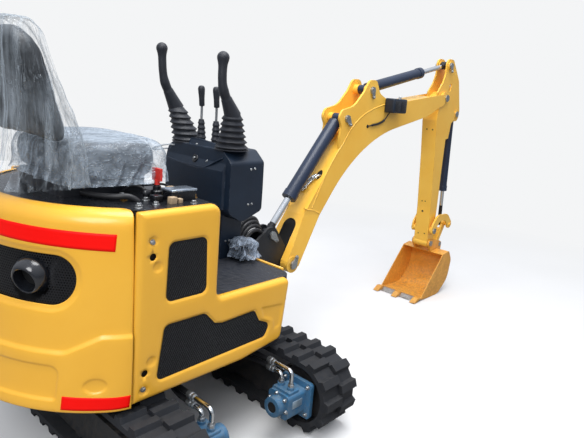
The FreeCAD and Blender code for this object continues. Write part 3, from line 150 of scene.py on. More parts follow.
def finish_coat(name, base, shade, rough, spread=0.08, metallic=0.0, coat=0.0, bump=0.08, grain=900.0, cloud=5.0,
                edge=None, dust=None, bevel=1.0, pattern=None, sheen=0.0, gloss=0.5, over=None):
    """A solid finish: cloudy base colour, fine grain, softened edges, an edge colour (wear on most finishes, a painted
    highlight on the console) and settled dust.

    bevel is how many times the paint's edge radius the edges are softened by. over is a second colour as
    (mask function, colour): painted shade inside the boom's fork, and the black paint on the rod ends.
    """
    paint = bpy.context.scene.excavator_paint
    shader = Shader(name)
    place = shader.add("TexCoord", output="Object")
    wide = shader.add("TexNoise", {"Vector": place, "Scale": cloud, "Detail": 5.0, "Roughness": 0.6})
    fine = shader.add("TexNoise", {"Vector": place, "Scale": grain, "Detail": 2.0})
    scratch = shader.add("TexNoise", {"Vector": place, "Scale": 60.0, "Detail": 6.0, "Roughness": 0.7})
    colour = shader.blend(shader.share(wide, 0.35, 0.65), linear(base), linear(shade))
    roughness = shader.share(scratch, 0.3, 0.7, rough - spread, rough + spread)
    normal = None
    if bevel:
        normal = shader.add("Bevel", {"Radius": paint.bevel * bevel}, samples=4)
        # Edge colour where the softened normal turns: wear on most finishes, a painted highlight along the console's
        # edges
        if edge:
            true = shader.add("NewGeometry", output="Normal")
            turned = shader.add("VectorMath", {0: normal, 1: true}, "Value", operation="DOT_PRODUCT")
            edge_wear_and_highlight = shader.math("MULTIPLY", shader.share(turned, 0.985, 0.9), shader.share(scratch, 0.5, 0.62))
            colour = shader.blend(edge_wear_and_highlight, colour, linear(edge))
    if dust:
        height = shader.add("SeparateXYZ", {0: place}, "Z")
        facing = shader.add("SeparateXYZ", {0: shader.add("NewGeometry", output="Normal")}, "Z")
        low = shader.share(height, 0.42, 0.02)
        level = shader.share(facing, 0.3, 1.0, 0.0, 0.55)
        settled = shader.math("MULTIPLY", shader.math("ADD", low, level), shader.share(scratch, 0.38, 0.68))
        settled = shader.math("MULTIPLY", settled, paint.dust)
        colour = shader.blend(settled, colour, linear(dust))
        roughness = shader.math("ADD", roughness, shader.math("MULTIPLY", settled, 0.35))
    if over:
        mask, second = over
        covered = mask(shader, place)
        colour = shader.blend(covered, colour, linear(second))
        metallic = shader.math("MULTIPLY", shader.math("SUBTRACT", 1.0, covered), metallic)
        roughness = shader.math("ADD", roughness, shader.math("MULTIPLY", covered, 0.25))
    height_map = pattern(shader, place) if pattern else fine
    bumped = {"Height": height_map, "Strength": bump, "Distance": 0.001}
    if normal:
        bumped["Normal"] = normal
    inputs = {"Base Color": colour, "Roughness": roughness, "Metallic": metallic,
              "Specular IOR Level": gloss, "Normal": shader.add("Bump", bumped)}
    if coat:
        inputs["Coat Weight"] = coat
        inputs["Coat Roughness"] = 0.12
    if sheen:
        inputs["Sheen Weight"] = sheen
    return shader.finish(shader.add("BsdfPrincipled", inputs))


def mat_ribs(shader, place):
    """Fine straight ribs of a moulded floor mat, in bands that run both ways."""
    parts = shader.add("SeparateXYZ", {0: place}, "Y")
    ridge = shader.math("SINE", shader.math("MULTIPLY", parts, 2 * math.pi / 0.014))
    along = shader.add("SeparateXYZ", {0: place}, "X")
    groove = shader.share(shader.math("ABSOLUTE", shader.math("SINE", shader.math(
        "MULTIPLY", along, math.pi / 0.085))), 0.04, 0.1)
    return shader.math("MULTIPLY", shader.share(ridge, 0.2, 0.9), groove)


def casting_skin(shader, place):
    """The coarse skin of sand-cast iron under paint."""
    lumps = shader.add("TexNoise", {"Vector": place, "Scale": 260.0, "Detail": 4.0, "Roughness": 0.65})
    return lumps


def hide_grain(shader, place):
    """Small pebbles of grained plastic or vinyl."""
    cells = shader.add("TexVoronoi", {"Vector": place, "Scale": 620.0}, feature="SMOOTH_F1")
    return cells


def rod_ends(shader, place):
    """The black paint on the eyes of the cylinder rods."""
    near = None
    for spot in ((0.585, 0.0, 0.609), (2.096, 0.0, 1.508), (2.338, 0.0, 0.453), (2.327, 0.0, 0.517)):
        far = shader.add("VectorMath", {0: place, 1: spot}, "Value", operation="DISTANCE")
        near = far if near is None else shader.math("MINIMUM", near, far)
    return shader.share(near, 0.060, 0.0605, 1.0, 0.0)


def fork_painted_shade(shader, place):
    """Painted shade: near-black on the inner faces of the boom's fork, under its round crown, where shade falls."""
    run = Vector((-0.3578, 0.0, -0.9338))
    half = 0.0388
    centre = Vector((0.752, 0.0, 0.664)) + run * 0.0380
    down = shader.math("SUBTRACT", shader.add("VectorMath", {0: place, 1: run}, "Value", operation="DOT_PRODUCT"),
                       centre.dot(run))
    above = shader.math("MINIMUM", down, 0.0)
    across = shader.add("SeparateXYZ", {0: place}, "Y")
    square = shader.math("ADD", shader.math("MULTIPLY", above, above), shader.math("MULTIPLY", across, across))
    near = shader.math("LESS_THAN", square, half * half)
    return shader.math("MULTIPLY", near, shader.math("GREATER_THAN", down, -half))


def clear_film(name, tint, low, high, along, facing):
    """Thin clear film: faint haze, milky where it folds or turns away, with creases along its hang."""
    shader = Shader(name)
    place = shader.add("TexCoord", output="Object")
    drawn = shader.add("VectorMath", {0: place, 1: along}, operation="MULTIPLY")
    streak = shader.add("TexNoise", {"Vector": drawn, "Scale": 1.0, "Detail": 5.0, "Roughness": 0.62,
                                     "Distortion": 0.6})
    haze = shader.add("TexNoise", {"Vector": place, "Scale": 9.0, "Detail": 4.0, "Roughness": 0.6})
    crease = shader.add("TexNoise", {"Vector": drawn, "Scale": 2.3, "Detail": 3.0, "Distortion": 1.2})
    crest = shader.share(shader.math("ABSOLUTE", shader.math("SUBTRACT", crease, 0.5)), 0.0, 0.035, 1.0, 0.0)
    edge_on = shader.add("LayerWeight", {"Blend": 0.35}, "Facing")
    milky = shader.math("ADD", shader.share(streak, 0.42, 0.68, low, high), shader.share(haze, 0.45, 0.7, 0.0, 0.12))
    milky = shader.math("ADD", milky, shader.share(edge_on, 0.35, 0.95, 0.0, facing))
    alpha = shader.add("Math", {0: milky, 1: shader.math("MULTIPLY", crest, 0.22)}, operation="ADD", use_clamp=True)
    normal = shader.add("Bump", {"Height": shader.math("ADD", streak, shader.math("MULTIPLY", crest, 0.35)),
                                 "Strength": 0.9, "Distance": 0.010})
    return shader.finish(shader.add("BsdfPrincipled", {
        "Base Color": linear(tint), "Roughness": 0.13, "IOR": 1.5, "Alpha": alpha, "Normal": normal}))


def make_materials():
    """One material per real material and process."""
    # Powder coat over pressed steel sheet, warm yellow
    finish_coat("cover_paint", "#F4B83B", "#F0B235", 0.33, 0.04, coat=0.35, bump=0.05, grain=420.0, cloud=3.0,
                gloss=0.4)
    # Sprayed enamel on welded plate, its base paler than the covers' as a painted reflection of the sky on its gloss
    finish_coat("arm_paint", "#FFC952", "#FBC046", 0.34, 0.07, coat=0.3, bump=0.09, grain=360.0, edge="#DCA448",
                gloss=0.4, bevel=1.9)
    # The same enamel on the boom, with the same painted sky reflection, and near-black painted shade inside its fork
    finish_coat("boom_paint", "#FFC952", "#FBC046", 0.34, 0.07, coat=0.3, bump=0.09, grain=360.0, edge="#DCA448",
                gloss=0.4, bevel=1.9, over=(fork_painted_shade, "#0B0C0E"))
    # The same enamel on the bucket, scuffed by soil
    finish_coat("bucket_paint", "#F6B244", "#E29B30", 0.42, 0.12, coat=0.2, bump=0.14, grain=260.0, cloud=14.0,
                edge="#6A5238", dust="#9A7750", bevel=1.6)
    # Black enamel on structural steel
    finish_coat("black_enamel", "#14171C", "#1F2329", 0.42, 0.1, bump=0.1, grain=420.0, edge="#4A4A4A",
                dust="#5E554A")
    # Black enamel on cylinder barrels, tinted blue as a painted reflection of the sky
    finish_coat("barrel_enamel", "#15233A", "#1A2B45", 0.42, 0.06, coat=0.18, bump=0.05, grain=500.0, edge="#4C4F58")
    # Steel-blue enamel on castings
    finish_coat("motor_enamel", "#3C7199", "#316387", 0.38, 0.08, coat=0.25, bump=0.3, edge="#7C98AC",
                dust="#6F7470", pattern=casting_skin)
    # Gloss black enamel on sheet
    finish_coat("deck_enamel", "#101216", "#16181D", 0.3, 0.08, coat=0.3, bump=0.08, grain=300.0, cloud=9.0)
    # Vulcanised rubber with pale dust in its roughness, its slight blue tint a painted reflection of the sky
    finish_coat("track_rubber", "#14171D", "#1C2027", 0.72, 0.1, bump=0.35, grain=240.0, dust="#403F3E", edge="#2C3038")
    # Moulded rubber sheet with ribs
    finish_coat("mat_rubber", "#1B1E26", "#22262F", 0.5, 0.1, bump=0.9, dust="#4A4A4A", pattern=mat_ribs)
    # Black ABS with a fine hide grain, tinted blue as a painted reflection of the sky, its pale blue-grey edges a
    # painted highlight
    finish_coat("console_plastic", "#131F2E", "#182738", 0.4, 0.06, bump=0.22, edge="#4A5362", pattern=hide_grain,
                bevel=3.4)
    # Soft black rubber of bellows and grips
    finish_coat("lever_rubber", "#171B23", "#1E222B", 0.55, 0.07, bump=0.2, grain=700.0, bevel=0.0, sheen=0.1)
    # Black powder coat on perforated and expanded sheet
    finish_coat("grille_black", "#0C0D10", "#121317", 0.3, 0.08, bump=0.05, bevel=0.0)
    # Black powder coat on strands, painted pale grey as the highlight along them
    finish_coat("strand_highlight_grey", "#515357", "#404246", 0.34, 0.08, metallic=0.4, bump=0.05, bevel=0.0)
    # Glossy black enamel on a pipe
    finish_coat("pipe_enamel", "#15171B", "#1D2026", 0.16, 0.06, coat=0.7, bump=0.06, cloud=30.0, bevel=0.0)
    # Sulphur-tan phenolic of a relay and bright tinned lid of the fuse box
    finish_coat("relay_tan", "#B7A184", "#A08B70", 0.55, 0.06, bump=0.1, cloud=40.0)
    finish_coat("tinned_lid", "#C3CEDB", "#AEBBCB", 0.18, 0.05, metallic=0.85, bump=0.04, cloud=30.0)
    # Glossy black acrylonitrile moulding of small units
    finish_coat("unit_black", "#121317", "#191B20", 0.28, 0.06, coat=0.3, bump=0.05)
    # Near-black: painted shade behind openings and in holes, bores and the exhaust's throat, and the black rubber of
    # grommets
    finish_coat("shade_and_rubber_black", "#08090A", "#0C0D0F", 0.8, 0.05, bump=0.05, bevel=0.0)
    # Hard chrome on ground rod
    finish_coat("hard_chrome", "#D9DCDD", "#CFD3D6", 0.1, 0.03, metallic=1.0, bump=0.01, bevel=0.0)
    # The same rod with the enamel of its eye
    finish_coat("chrome_rod", "#E2E5E6", "#D6DADD", 0.12, 0.03, metallic=1.0, bump=0.01,
                over=(rod_ends, "#16181D"))
    # Bright zinc on pins, bolts and fittings
    finish_coat("bright_zinc", "#B9BCBD", "#A3A6A8", 0.3, 0.1, metallic=0.9, bump=0.1, grain=300.0, cloud=40.0)
    # Yellow passivated zinc on a few bolts
    finish_coat("yellow_zinc", "#B98F4C", "#A07A44", 0.35, 0.1, metallic=0.85, bump=0.1, cloud=60.0)
    # Rough iron casting, painted black
    finish_coat("cast_iron", "#25262A", "#303136", 0.55, 0.1, bump=0.5, pattern=casting_skin, dust="#4E4A44")
    # Mild steel darkened by heat
    finish_coat("exhaust_steel", "#4A4540", "#6A5C50", 0.45, 0.12, metallic=0.7, bump=0.15, cloud=30.0, bevel=0.0)
    # Worn bare steel of a cutting edge
    finish_coat("worn_steel", "#B9B4AE", "#8F877F", 0.38, 0.14, metallic=0.75, bump=0.2, cloud=50.0, edge="#D8D4CE")
    # Retroreflective red film, laid flat on the paint
    finish_coat("red_film", "#FF0E06", "#FA0B05", 0.45, 0.03, bump=0.05, grain=1500.0, bevel=0.0, gloss=0.15)
    # Red injection-moulded nylon
    finish_coat("red_nylon", "#D8352B", "#C42C24", 0.35, 0.05, bump=0.06, bevel=0.0)
    # Grained vinyl over foam
    finish_coat("seat_vinyl", "#2B2F33", "#34383C", 0.45, 0.08, bump=0.35, bevel=0.0, pattern=hide_grain)
    # Smooth black rubber hose with a light bloom
    finish_coat("hose_rubber", "#191A1D", "#232427", 0.48, 0.08, bump=0.1, grain=900.0, bevel=0.0)
    # Thin yellow cable tie
    finish_coat("tie_nylon", "#D9C92C", "#C9B824", 0.4, 0.05, bump=0.03, bevel=0.0)
    # Pale nylon cord
    finish_coat("cord_nylon", "#C9CED2", "#AEB4BA", 0.6, 0.05, bump=0.1, bevel=0.0)
    # Pressed aluminium plate, left blank
    finish_coat("bare_aluminium", "#A9BCC9", "#8FA3B2", 0.35, 0.08, metallic=0.6, bump=0.06, cloud=60.0, bevel=0.0)
    # Moulded lamp lens
    finish_coat("lamp_lens", "#C8CED2", "#AEB7BE", 0.12, 0.03, coat=0.8, bump=0.05, bevel=0.0)
    # Clear polyethylene wrap over the seat, and the loose wrap left on the pedal
    clear_film("back_film", "#C6D2DC", -0.02, 0.28, (26.0, 26.0, 2.6), 0.78)
    clear_film("cushion_film", "#BCCAD8", 0.12, 0.50, (5.0, 24.0, 16.0), 0.70)
    clear_film("pedal_film", "#ACBACC", 0.3, 0.9, (30.0, 30.0, 30.0), 0.4)


# What each CAD node is made of
NODE_FINISH = {
    "track_left": "track_rubber", "track_right": "track_rubber", "undercarriage_frame": "black_enamel",
    "slew_ring": "cast_iron", "track_wheels": "cast_iron", "track_rollers": "cast_iron",
    "travel_motor_left": "motor_enamel", "travel_motor_right": "motor_enamel", "motor_pipes": "hard_chrome",
    "dozer_blade": "arm_paint", "blade_cylinder_barrel": "barrel_enamel", "blade_cylinder_rod": "chrome_rod",
    "blade_pins": "bright_zinc", "rear_cover": "cover_paint", "side_cover_right": "cover_paint",
    # The side_grilles node is near-black: painted shade of the space behind the grille strands
    "side_cover_left": "cover_paint", "side_grilles": "shade_and_rubber_black", "platform": "black_enamel",
    "floor_mat": "mat_rubber", "front_trim": "cover_paint", "deck_plate": "deck_enamel",
    "seat_base": "deck_enamel", "engine_block": "cast_iron", "exhaust_muffler": "cast_iron",
    "seat_rails": "black_enamel", "console": "console_plastic", "foot_pedal": "black_enamel",
    "isolator_key": "red_nylon", "boom_bracket": "black_enamel",
    "bracket_pins": "bright_zinc", "boom": "boom_paint", "boom_pins": "bright_zinc", "arm": "arm_paint",
    "arm_pins": "bright_zinc", "boom_cylinder_barrel": "barrel_enamel", "boom_cylinder_rod": "chrome_rod",
    "arm_cylinder_barrel": "barrel_enamel", "arm_cylinder_rod": "chrome_rod",
    "bucket_cylinder_barrel": "barrel_enamel", "bucket_cylinder_rod": "chrome_rod", "rocker_links": "arm_paint",
    "bucket_link": "arm_paint", "bucket": "bucket_paint", "bucket_lip": "worn_steel", "bucket_teeth": "bucket_paint",
    "bucket_pins": "bright_zinc", "work_lamp": "console_plastic", "lever_boots": "lever_rubber",
    "control_levers": "lever_rubber",
}


def dress_nodes():
    """Gives every CAD node that stays in view its material."""
    for name, finish in NODE_FINISH.items():
        slots = NODES[name].material_slots
        if not slots:
            NODES[name].data.materials.append(MATERIALS[finish])
        for slot in slots:
            slot.material = MATERIALS[finish]


# Mesh building

def piece(name, mesh, finish, body, smooth=True, sharp=35.0):
    """A new object out of closed mesh data, with its normals outward."""
    work = bmesh.new()
    work.from_mesh(mesh)
    if all(edge.is_manifold for edge in work.edges):
        bmesh.ops.recalc_face_normals(work, faces=work.faces[:])
        work.to_mesh(mesh)
    work.free()
    return dressed(name, mesh, finish, body, sharp if smooth else None)


def dressed(name, mesh, finish, body, sharp=None):
    """A new object with its shading, its material, and the body it rides on."""
    if sharp:
        mesh.shade_smooth()
        mesh.set_sharp_from_angle(angle=math.radians(sharp))
    thing = bpy.data.objects.new(name, mesh)
    bpy.context.scene.collection.objects.link(thing)
    mesh.materials.clear()
    mesh.materials.append(MATERIALS[finish])
    if body:
        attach(thing, body)
    return thing


def mesh_of(name, spots, faces):
    mesh = bpy.data.meshes.new(name)
    mesh.from_pydata([tuple(spot) for spot in spots], [], faces)
    mesh.update()
    return mesh


def joined(name, meshes):
    """One mesh out of several."""
    spots, faces = [], []
    for mesh in meshes:
        start = len(spots)
        spots += [vertex.co.copy() for vertex in mesh.vertices]
        faces += [[start + index for index in face.vertices] for face in mesh.polygons]
    return mesh_of(name, spots, faces)


def square_to(line):
    """Two directions square to a line and to each other."""
    line = line.normalized()
    side = line.cross(Vector((0, 0, 1)))
    if side.length < 0.05:
        side = line.cross(Vector((1, 0, 0)))
    side.normalize()
    return side, line.cross(side).normalized()


def sweep(name, points, radii, segments=14, capped=True):
    """A closed tube through points, with a radius at each."""
    points = [Vector(point) for point in points]
    if not hasattr(radii, "__len__"):
        radii = [radii] * len(points)
    spots, faces = [], []
    side, up = square_to(points[1] - points[0])
    for index, (point, radius) in enumerate(zip(points, radii)):
        ahead = points[min(index + 1, len(points) - 1)] - points[max(index - 1, 0)]
        ahead.normalize()
        side = (side - ahead * side.dot(ahead)).normalized()
        up = ahead.cross(side).normalized()
        for step in range(segments):
            turn = 2 * math.pi * step / segments
            spots.append(point + side * (radius * math.cos(turn)) + up * (radius * math.sin(turn)))
    for index in range(len(points) - 1):
        for step in range(segments):
            after = (step + 1) % segments
            low, high = index * segments, (index + 1) * segments
            faces.append([low + step, low + after, high + after, high + step])
    if capped:
        faces.append(list(range(segments))[::-1])
        faces.append([len(spots) - segments + step for step in range(segments)])
    return mesh_of(name, spots, faces)


def lathe(name, foot, axis, profile, segments=28):
    """A solid of revolution: profile is (radius, height) along the axis from its foot."""
    foot = Vector(foot)
    axis = Vector(axis).normalized()
    side, up = square_to(axis)
    spots, faces = [], []
    for radius, height in profile:
        for step in range(segments):
            turn = 2 * math.pi * step / segments
            spots.append(foot + axis * height + side * (radius * math.cos(turn)) + up * (radius * math.sin(turn)))
    for index in range(len(profile) - 1):
        for step in range(segments):
            after = (step + 1) % segments
            low, high = index * segments, (index + 1) * segments
            faces.append([low + step, low + after, high + after, high + step])
    faces.append(list(range(segments))[::-1])
    faces.append([len(spots) - segments + step for step in range(segments)])
    return mesh_of(name, spots, faces)


def smooth_line(points, steps=10):
    """Points along a soft curve that starts and ends at the given ends."""
    curve = bpy.data.curves.new("route", "CURVE")
    curve.dimensions = "3D"
    spline = curve.splines.new("NURBS")
    spline.points.add(len(points) - 1)
    for knot, point in zip(spline.points, points):
        knot.co = (*point, 1)
    spline.use_endpoint_u = True
    spline.order_u = 3
    spline.resolution_u = steps
    holder = bpy.data.objects.new("route", curve)
    bpy.context.scene.collection.objects.link(holder)
    line = bpy.data.meshes.new_from_object(holder.evaluated_get(bpy.context.evaluated_depsgraph_get()))
    result = [vertex.co.copy() for vertex in line.vertices]
    bpy.data.objects.remove(holder)
    bpy.data.curves.remove(curve)
    bpy.data.meshes.remove(line)
    return result


def rounded_outline(points, steps=5):
    """A closed 2D outline whose corners are rounded: points are (u, v, radius)."""
    result = []
    count = len(points)
    for index, (u, v, radius) in enumerate(points):
        here = Vector((u, v))
        back = Vector(points[index - 1][:2]) - here
        ahead = Vector(points[(index + 1) % count][:2]) - here
        half = back.angle(ahead) / 2
        cut = min(radius / math.tan(half), 0.49 * back.length, 0.49 * ahead.length)
        radius = cut * math.tan(half)
        back.normalize()
        ahead.normalize()
        if radius <= 0:
            result.append(here)
            continue
        centre = here + (back + ahead).normalized() * (radius / math.sin(half))
        first = here + back * cut - centre
        last = here + ahead * cut - centre
        turn = first.angle_signed(last)
        for step in range(steps + 1):
            share = step / steps
            spin = Matrix.Rotation(-turn * share, 2)
            result.append(centre + spin @ first)
    return result


def inside(outline, u, v):
    """Whether a 2D point is inside an outline."""
    crossed = False
    for index, here in enumerate(outline):
        before = outline[index - 1]
        if (here[1] > v) != (before[1] > v):
            if u < (before[0] - here[0]) * (v - here[1]) / (before[1] - here[1]) + here[0]:
                crossed = not crossed
    return crossed


def bead(name, path, outward, width, height, closed_loop=True):
    """A low rounded rib along a path on a surface, raised along the outward directions."""
    profile = [(-0.5, -0.12), (-0.36, 0.55), (-0.16, 0.94), (0.16, 0.94), (0.36, 0.55), (0.5, -0.12)]
    count = len(path)
    spots, faces = [], []
    for index, (point, out) in enumerate(zip(path, outward)):
        before = path[index - 1] if closed_loop or index else path[0]
        after = path[(index + 1) % count] if closed_loop or index < count - 1 else path[-1]
        along = (after - before).normalized()
        across = out.cross(along).normalized()
        for share, rise in profile:
            spots.append(point + across * (share * width) + out * (rise * height))
    size = len(profile)
    for index in range(count if closed_loop else count - 1):
        after = (index + 1) % count
        for step in range(size):
            following = (step + 1) % size
            faces.append([index * size + step, index * size + following, after * size + following,
                          after * size + step])
    if not closed_loop:
        faces.append(list(range(size))[::-1])
        faces.append([len(spots) - size + step for step in range(size)])
    return mesh_of(name, spots, faces)


def repeat(name, template, places, finish, body, seed=7):
    """Copies a template mesh onto places with Geometry Nodes: each place is a point and a facing direction."""
    points = mesh_of(name + "_places", [place for place, facing in places], [])
    facing = points.attributes.new("facing", "FLOAT_VECTOR", "POINT")
    facing.data.foreach_set("vector", [value for place, way in places for value in Vector(way).normalized()])
    holder = bpy.data.objects.new(name + "_holder", points)
    model = bpy.data.objects.new(name + "_model", template)
    for thing in (holder, model):
        bpy.context.scene.collection.objects.link(thing)
    tree = bpy.data.node_groups.new(name + "_repeat", "GeometryNodeTree")
    tree.interface.new_socket("Geometry", in_out="INPUT", socket_type="NodeSocketGeometry")
    wanted = tree.interface.new_socket("Template", in_out="INPUT", socket_type="NodeSocketObject")
    turn_seed = tree.interface.new_socket("Seed", in_out="INPUT", socket_type="NodeSocketInt")
    tree.interface.new_socket("Geometry", in_out="OUTPUT", socket_type="NodeSocketGeometry")

    def add(kind, links=None, **settings):
        node = tree.nodes.new(kind)
        for key, value in settings.items():
            setattr(node, key, value)
        for key, value in (links or {}).items():
            if isinstance(value, bpy.types.NodeSocket):
                tree.links.new(value, node.inputs[key])
            else:
                node.inputs[key].default_value = value
        return node
    source = add("NodeGroupInput")
    shape = add("GeometryNodeObjectInfo", {"Object": source.outputs["Template"]})
    way = add("GeometryNodeInputNamedAttribute", {"Name": "facing"}, data_type="FLOAT_VECTOR")
    spin = add("FunctionNodeRandomValue", {2: 0.0, 3: 2 * math.pi, "Seed": source.outputs["Seed"]})
    first = add("FunctionNodeAxisAngleToRotation", {"Axis": (0, 0, 1), "Angle": spin.outputs[1]})
    aligned = add("FunctionNodeAlignRotationToVector", {"Rotation": first.outputs[0], "Vector": way.outputs[0]},
                  axis="Z")
    placed = add("GeometryNodeInstanceOnPoints", {"Points": source.outputs["Geometry"],
                                                  "Instance": shape.outputs["Geometry"],
                                                  "Rotation": aligned.outputs[0]})
    real = add("GeometryNodeRealizeInstances", {0: placed.outputs[0]})
    painted = add("GeometryNodeSetMaterial", {0: real.outputs[0], "Material": MATERIALS[finish]})
    add("NodeGroupOutput", {0: painted.outputs[0]})
    modifier = holder.modifiers.new("Repeat", "NODES")
    modifier.node_group = tree
    modifier[wanted.identifier] = model
    modifier[turn_seed.identifier] = seed
    bpy.context.view_layer.update()
    made = bpy.data.meshes.new_from_object(holder.evaluated_get(bpy.context.evaluated_depsgraph_get()))
    for thing in (holder, model):
        bpy.data.objects.remove(thing)
    return piece(name, made, finish, body)


def hex_bolt(size, height, washer=1.5):
    """A hexagon bolt's head on a washer, along +Z from the face it is screwed to."""
    flat = size / 2
    shape = bmesh.new()
    for radius, low, high, sides in ((flat * washer, -0.0004, 0.0016, 28), (flat * 1.155, 0.0016, height, 6)):
        made = bmesh.ops.create_cone(shape, cap_ends=True, segments=sides, radius1=radius, radius2=radius,
                                     depth=high - low, matrix=Matrix.Translation((0, 0, (low + high) / 2)))
        if sides == 6:
            top = [edge for edge in shape.edges if all(v.co.z > high - 1e-6 and v in made["verts"] for v in edge.verts)]
            bmesh.ops.bevel(shape, geom=top, offset=0.0009, segments=2, affect="EDGES")
    mesh = bpy.data.meshes.new("hex_bolt")
    shape.to_mesh(mesh)
    shape.free()
    return mesh


def cap_screw(radius, height, socket=0.5):
    """A round-headed screw with a socket in its crown, along +Z."""
    return lathe("cap_screw", (0, 0, 0), (0, 0, 1), [
        (radius * 1.25, -0.0004), (radius * 1.25, height * 0.16), (radius, height * 0.2), (radius * 0.97, height * 0.7),
        (radius * 0.78, height), (radius * socket, height), (radius * socket * 0.9, height * 0.5),
        (radius * 0.1, height * 0.45)], 20)


# The tail's skin

def tail_section(height):
    """Half width, tail radius, arc centre and corner radius of the rear cover at a height, in metres."""
    share = (height - 0.320) / 0.585
    return 0.455 - 0.003 * share, 0.515 - 0.025 * share, 0.180 - 0.037 * share, 0.150 - 0.030 * share


def tail_point(along, height, stand=0.0):
    """A point on the tail's skin and its outward direction: along is the distance round from the middle."""
    half, radius, centre, corner = tail_section(height)
    side = 1 if along >= 0 else -1
    along = abs(along)
    turn = math.atan2(half - corner, math.sqrt((radius - corner) ** 2 - (half - corner) ** 2))
    if along < radius * turn:
        angle = along / radius
        foot = Vector((-centre, 0, height))
        reach = radius
    else:
        angle = min(turn + (along - radius * turn) / corner, math.pi / 2)
        foot = Vector((-centre - (radius - corner) * math.cos(turn), (radius - corner) * math.sin(turn), height))
        reach = corner
    out = Vector((-math.cos(angle), math.sin(angle), 0))
    point = foot + out * (reach + stand)
    over = along - radius * turn - corner * (math.pi / 2 - turn)
    if over > 0:
        point.x += over
    return Vector((point.x, side * point.y, height)), Vector((out.x, side * out.y, 0))


def skin_patch(name, start, end, low, high, stand, thickness, steps):
    """A thin sheet laid on the tail's skin between two distances, its edges given as functions of the distance."""
    spots, faces = [], []
    for index in range(steps + 1):
        along = start + (end - start) * index / steps
        for height, extra in ((low(along), 0), (high(along), 0), (high(along), thickness), (low(along), thickness)):
            spots.append(tail_point(along, height, stand + extra)[0])
    for index in range(steps):
        for step in range(4):
            after = (step + 1) % 4
            faces.append([index * 4 + step, index * 4 + after, index * 4 + 4 + after, index * 4 + 4 + step])
    faces += [[3, 2, 1, 0], [len(spots) - 4, len(spots) - 3, len(spots) - 2, len(spots) - 1]]
    return mesh_of(name, spots, faces)


def distances(points, loop):
    """Distance of 2D points from a closed outline, negative inside it."""
    points = numpy.array(points, float).reshape(-1, 2)
    start = numpy.array([tuple(spot) for spot in loop], float)
    end = numpy.roll(start, -1, axis=0)
    way = end - start
    length = numpy.maximum((way ** 2).sum(axis=1), 1e-12)
    gap = points[:, None, :] - start[None]
    share = numpy.clip((gap * way).sum(axis=2) / length, 0, 1)
    near = numpy.sqrt(((gap - share[..., None] * way) ** 2).sum(axis=2)).min(axis=1)
    crosses = (start[None, :, 1] > points[:, None, 1]) != (end[None, :, 1] > points[:, None, 1])
    rise = numpy.where(numpy.abs(way[:, 1]) < 1e-12, 1e-12, way[:, 1])
    reach = start[None, :, 0] + (points[:, None, 1] - start[None, :, 1]) / rise * way[None, :, 0]
    odd = (crosses & (points[:, None, 0] < reach)).sum(axis=1) % 2 == 1
    return numpy.where(odd, -near, near)


def slope(start, start_height, end, end_height, steps=5):
    """Profile points of a soft step between two distances."""
    spots = []
    for step in range(steps + 1):
        share = step / steps
        soft = share * share * (3 - 2 * share)
        spots.append((start + (end - start) * share, start_height + (end_height - start_height) * soft))
    return spots


def rolled_edge(radius, steps=5):
    """Profile of an edge that rolls over a quarter circle at an outline."""
    spots = []
    for step in range(steps + 1):
        turn = math.pi / 2 * step / steps
        spots.append((-radius * (1 - math.sin(turn)), -radius * (1 - math.cos(turn))))
    return spots


def spaced(loop, spacing):
    """Points along a closed outline, no farther apart than the spacing."""
    result = []
    for index, here in enumerate(loop):
        after = loop[(index + 1) % len(loop)]
        parts = max(1, math.ceil((after - here).length / spacing))
        result += [here.lerp(after, step / parts) for step in range(parts)]
    return result


class Pressing:
    """Sheet pressed over a flat region: outline, openings, and features as (outline, height profile)."""

    def __init__(self, outline, openings, features, cell, spacing=0.006):
        self.features = features
        loops = [spaced(loop, spacing) for loop in [outline] + openings]
        rings = []
        for loop, profile in features:
            for distance, height in profile:
                ring = spaced(grown(loop, distance) if distance else loop, spacing)
                true = distances(ring, loop)
                rings += [spot for spot, far in zip(ring, true) if abs(far - distance) < 0.0004]
        us = [spot[0] for spot in outline]
        vs = [spot[1] for spot in outline]
        grid = [(u, v) for u in numpy.arange(min(us), max(us), cell) for v in numpy.arange(min(vs), max(vs), cell)]
        clear = numpy.ones(len(grid), bool)
        for loop, profile in features:
            far = distances(grid, loop)
            clear &= (far < profile[0][0] - cell * 0.4) | (far > profile[-1][0] + cell * 0.4)
        loose = numpy.array([tuple(spot) for spot in rings] + [grid[i] for i in numpy.flatnonzero(clear)])
        inner = distances(loose, outline) < -0.0008
        for loop in openings:
            inner &= distances(loose, loop) > 0.0008
        spots = [Vector(spot) for loop in loops for spot in loop] + [Vector(spot) for spot in loose[inner]]
        edges = []
        first = 0
        for loop in loops:
            edges += [(first + index, first + (index + 1) % len(loop)) for index in range(len(loop))]
            first += len(loop)
        made = geometry.delaunay_2d_cdt(spots, edges, [], 0, 1e-6)
        self.spots = made[0]
        middles = [(made[0][a] + made[0][b] + made[0][c]) / 3 for a, b, c in made[2]]
        inner = distances(middles, outline) < -0.00005
        for loop in openings:
            inner &= distances(middles, loop) > 0.00005
        self.faces = [list(face) for face, kept in zip(made[2], inner) if kept]

    def heights(self, points):
        """Height of the pressed sheet over its flat face at 2D points."""
        total = numpy.zeros(len(points))
        for loop, profile in self.features:
            total += numpy.interp(distances(points, loop), [far for far, height in profile],
                                  [height for far, height in profile])
        return total

    def mesh(self, name, place):
        """The sheet's mesh: place turns a 2D point and a height into a 3D point."""
        heights = self.heights(self.spots)
        work = bmesh.new()
        corners = [work.verts.new(place(spot[0], spot[1], height)) for spot, height in zip(self.spots, heights)]
        for face in self.faces:
            work.faces.new([corners[index] for index in face])
        for corner in [corner for corner in work.verts if not corner.link_faces]:
            work.verts.remove(corner)
        mesh = bpy.data.meshes.new(name)
        work.to_mesh(mesh)
        work.free()
        return mesh


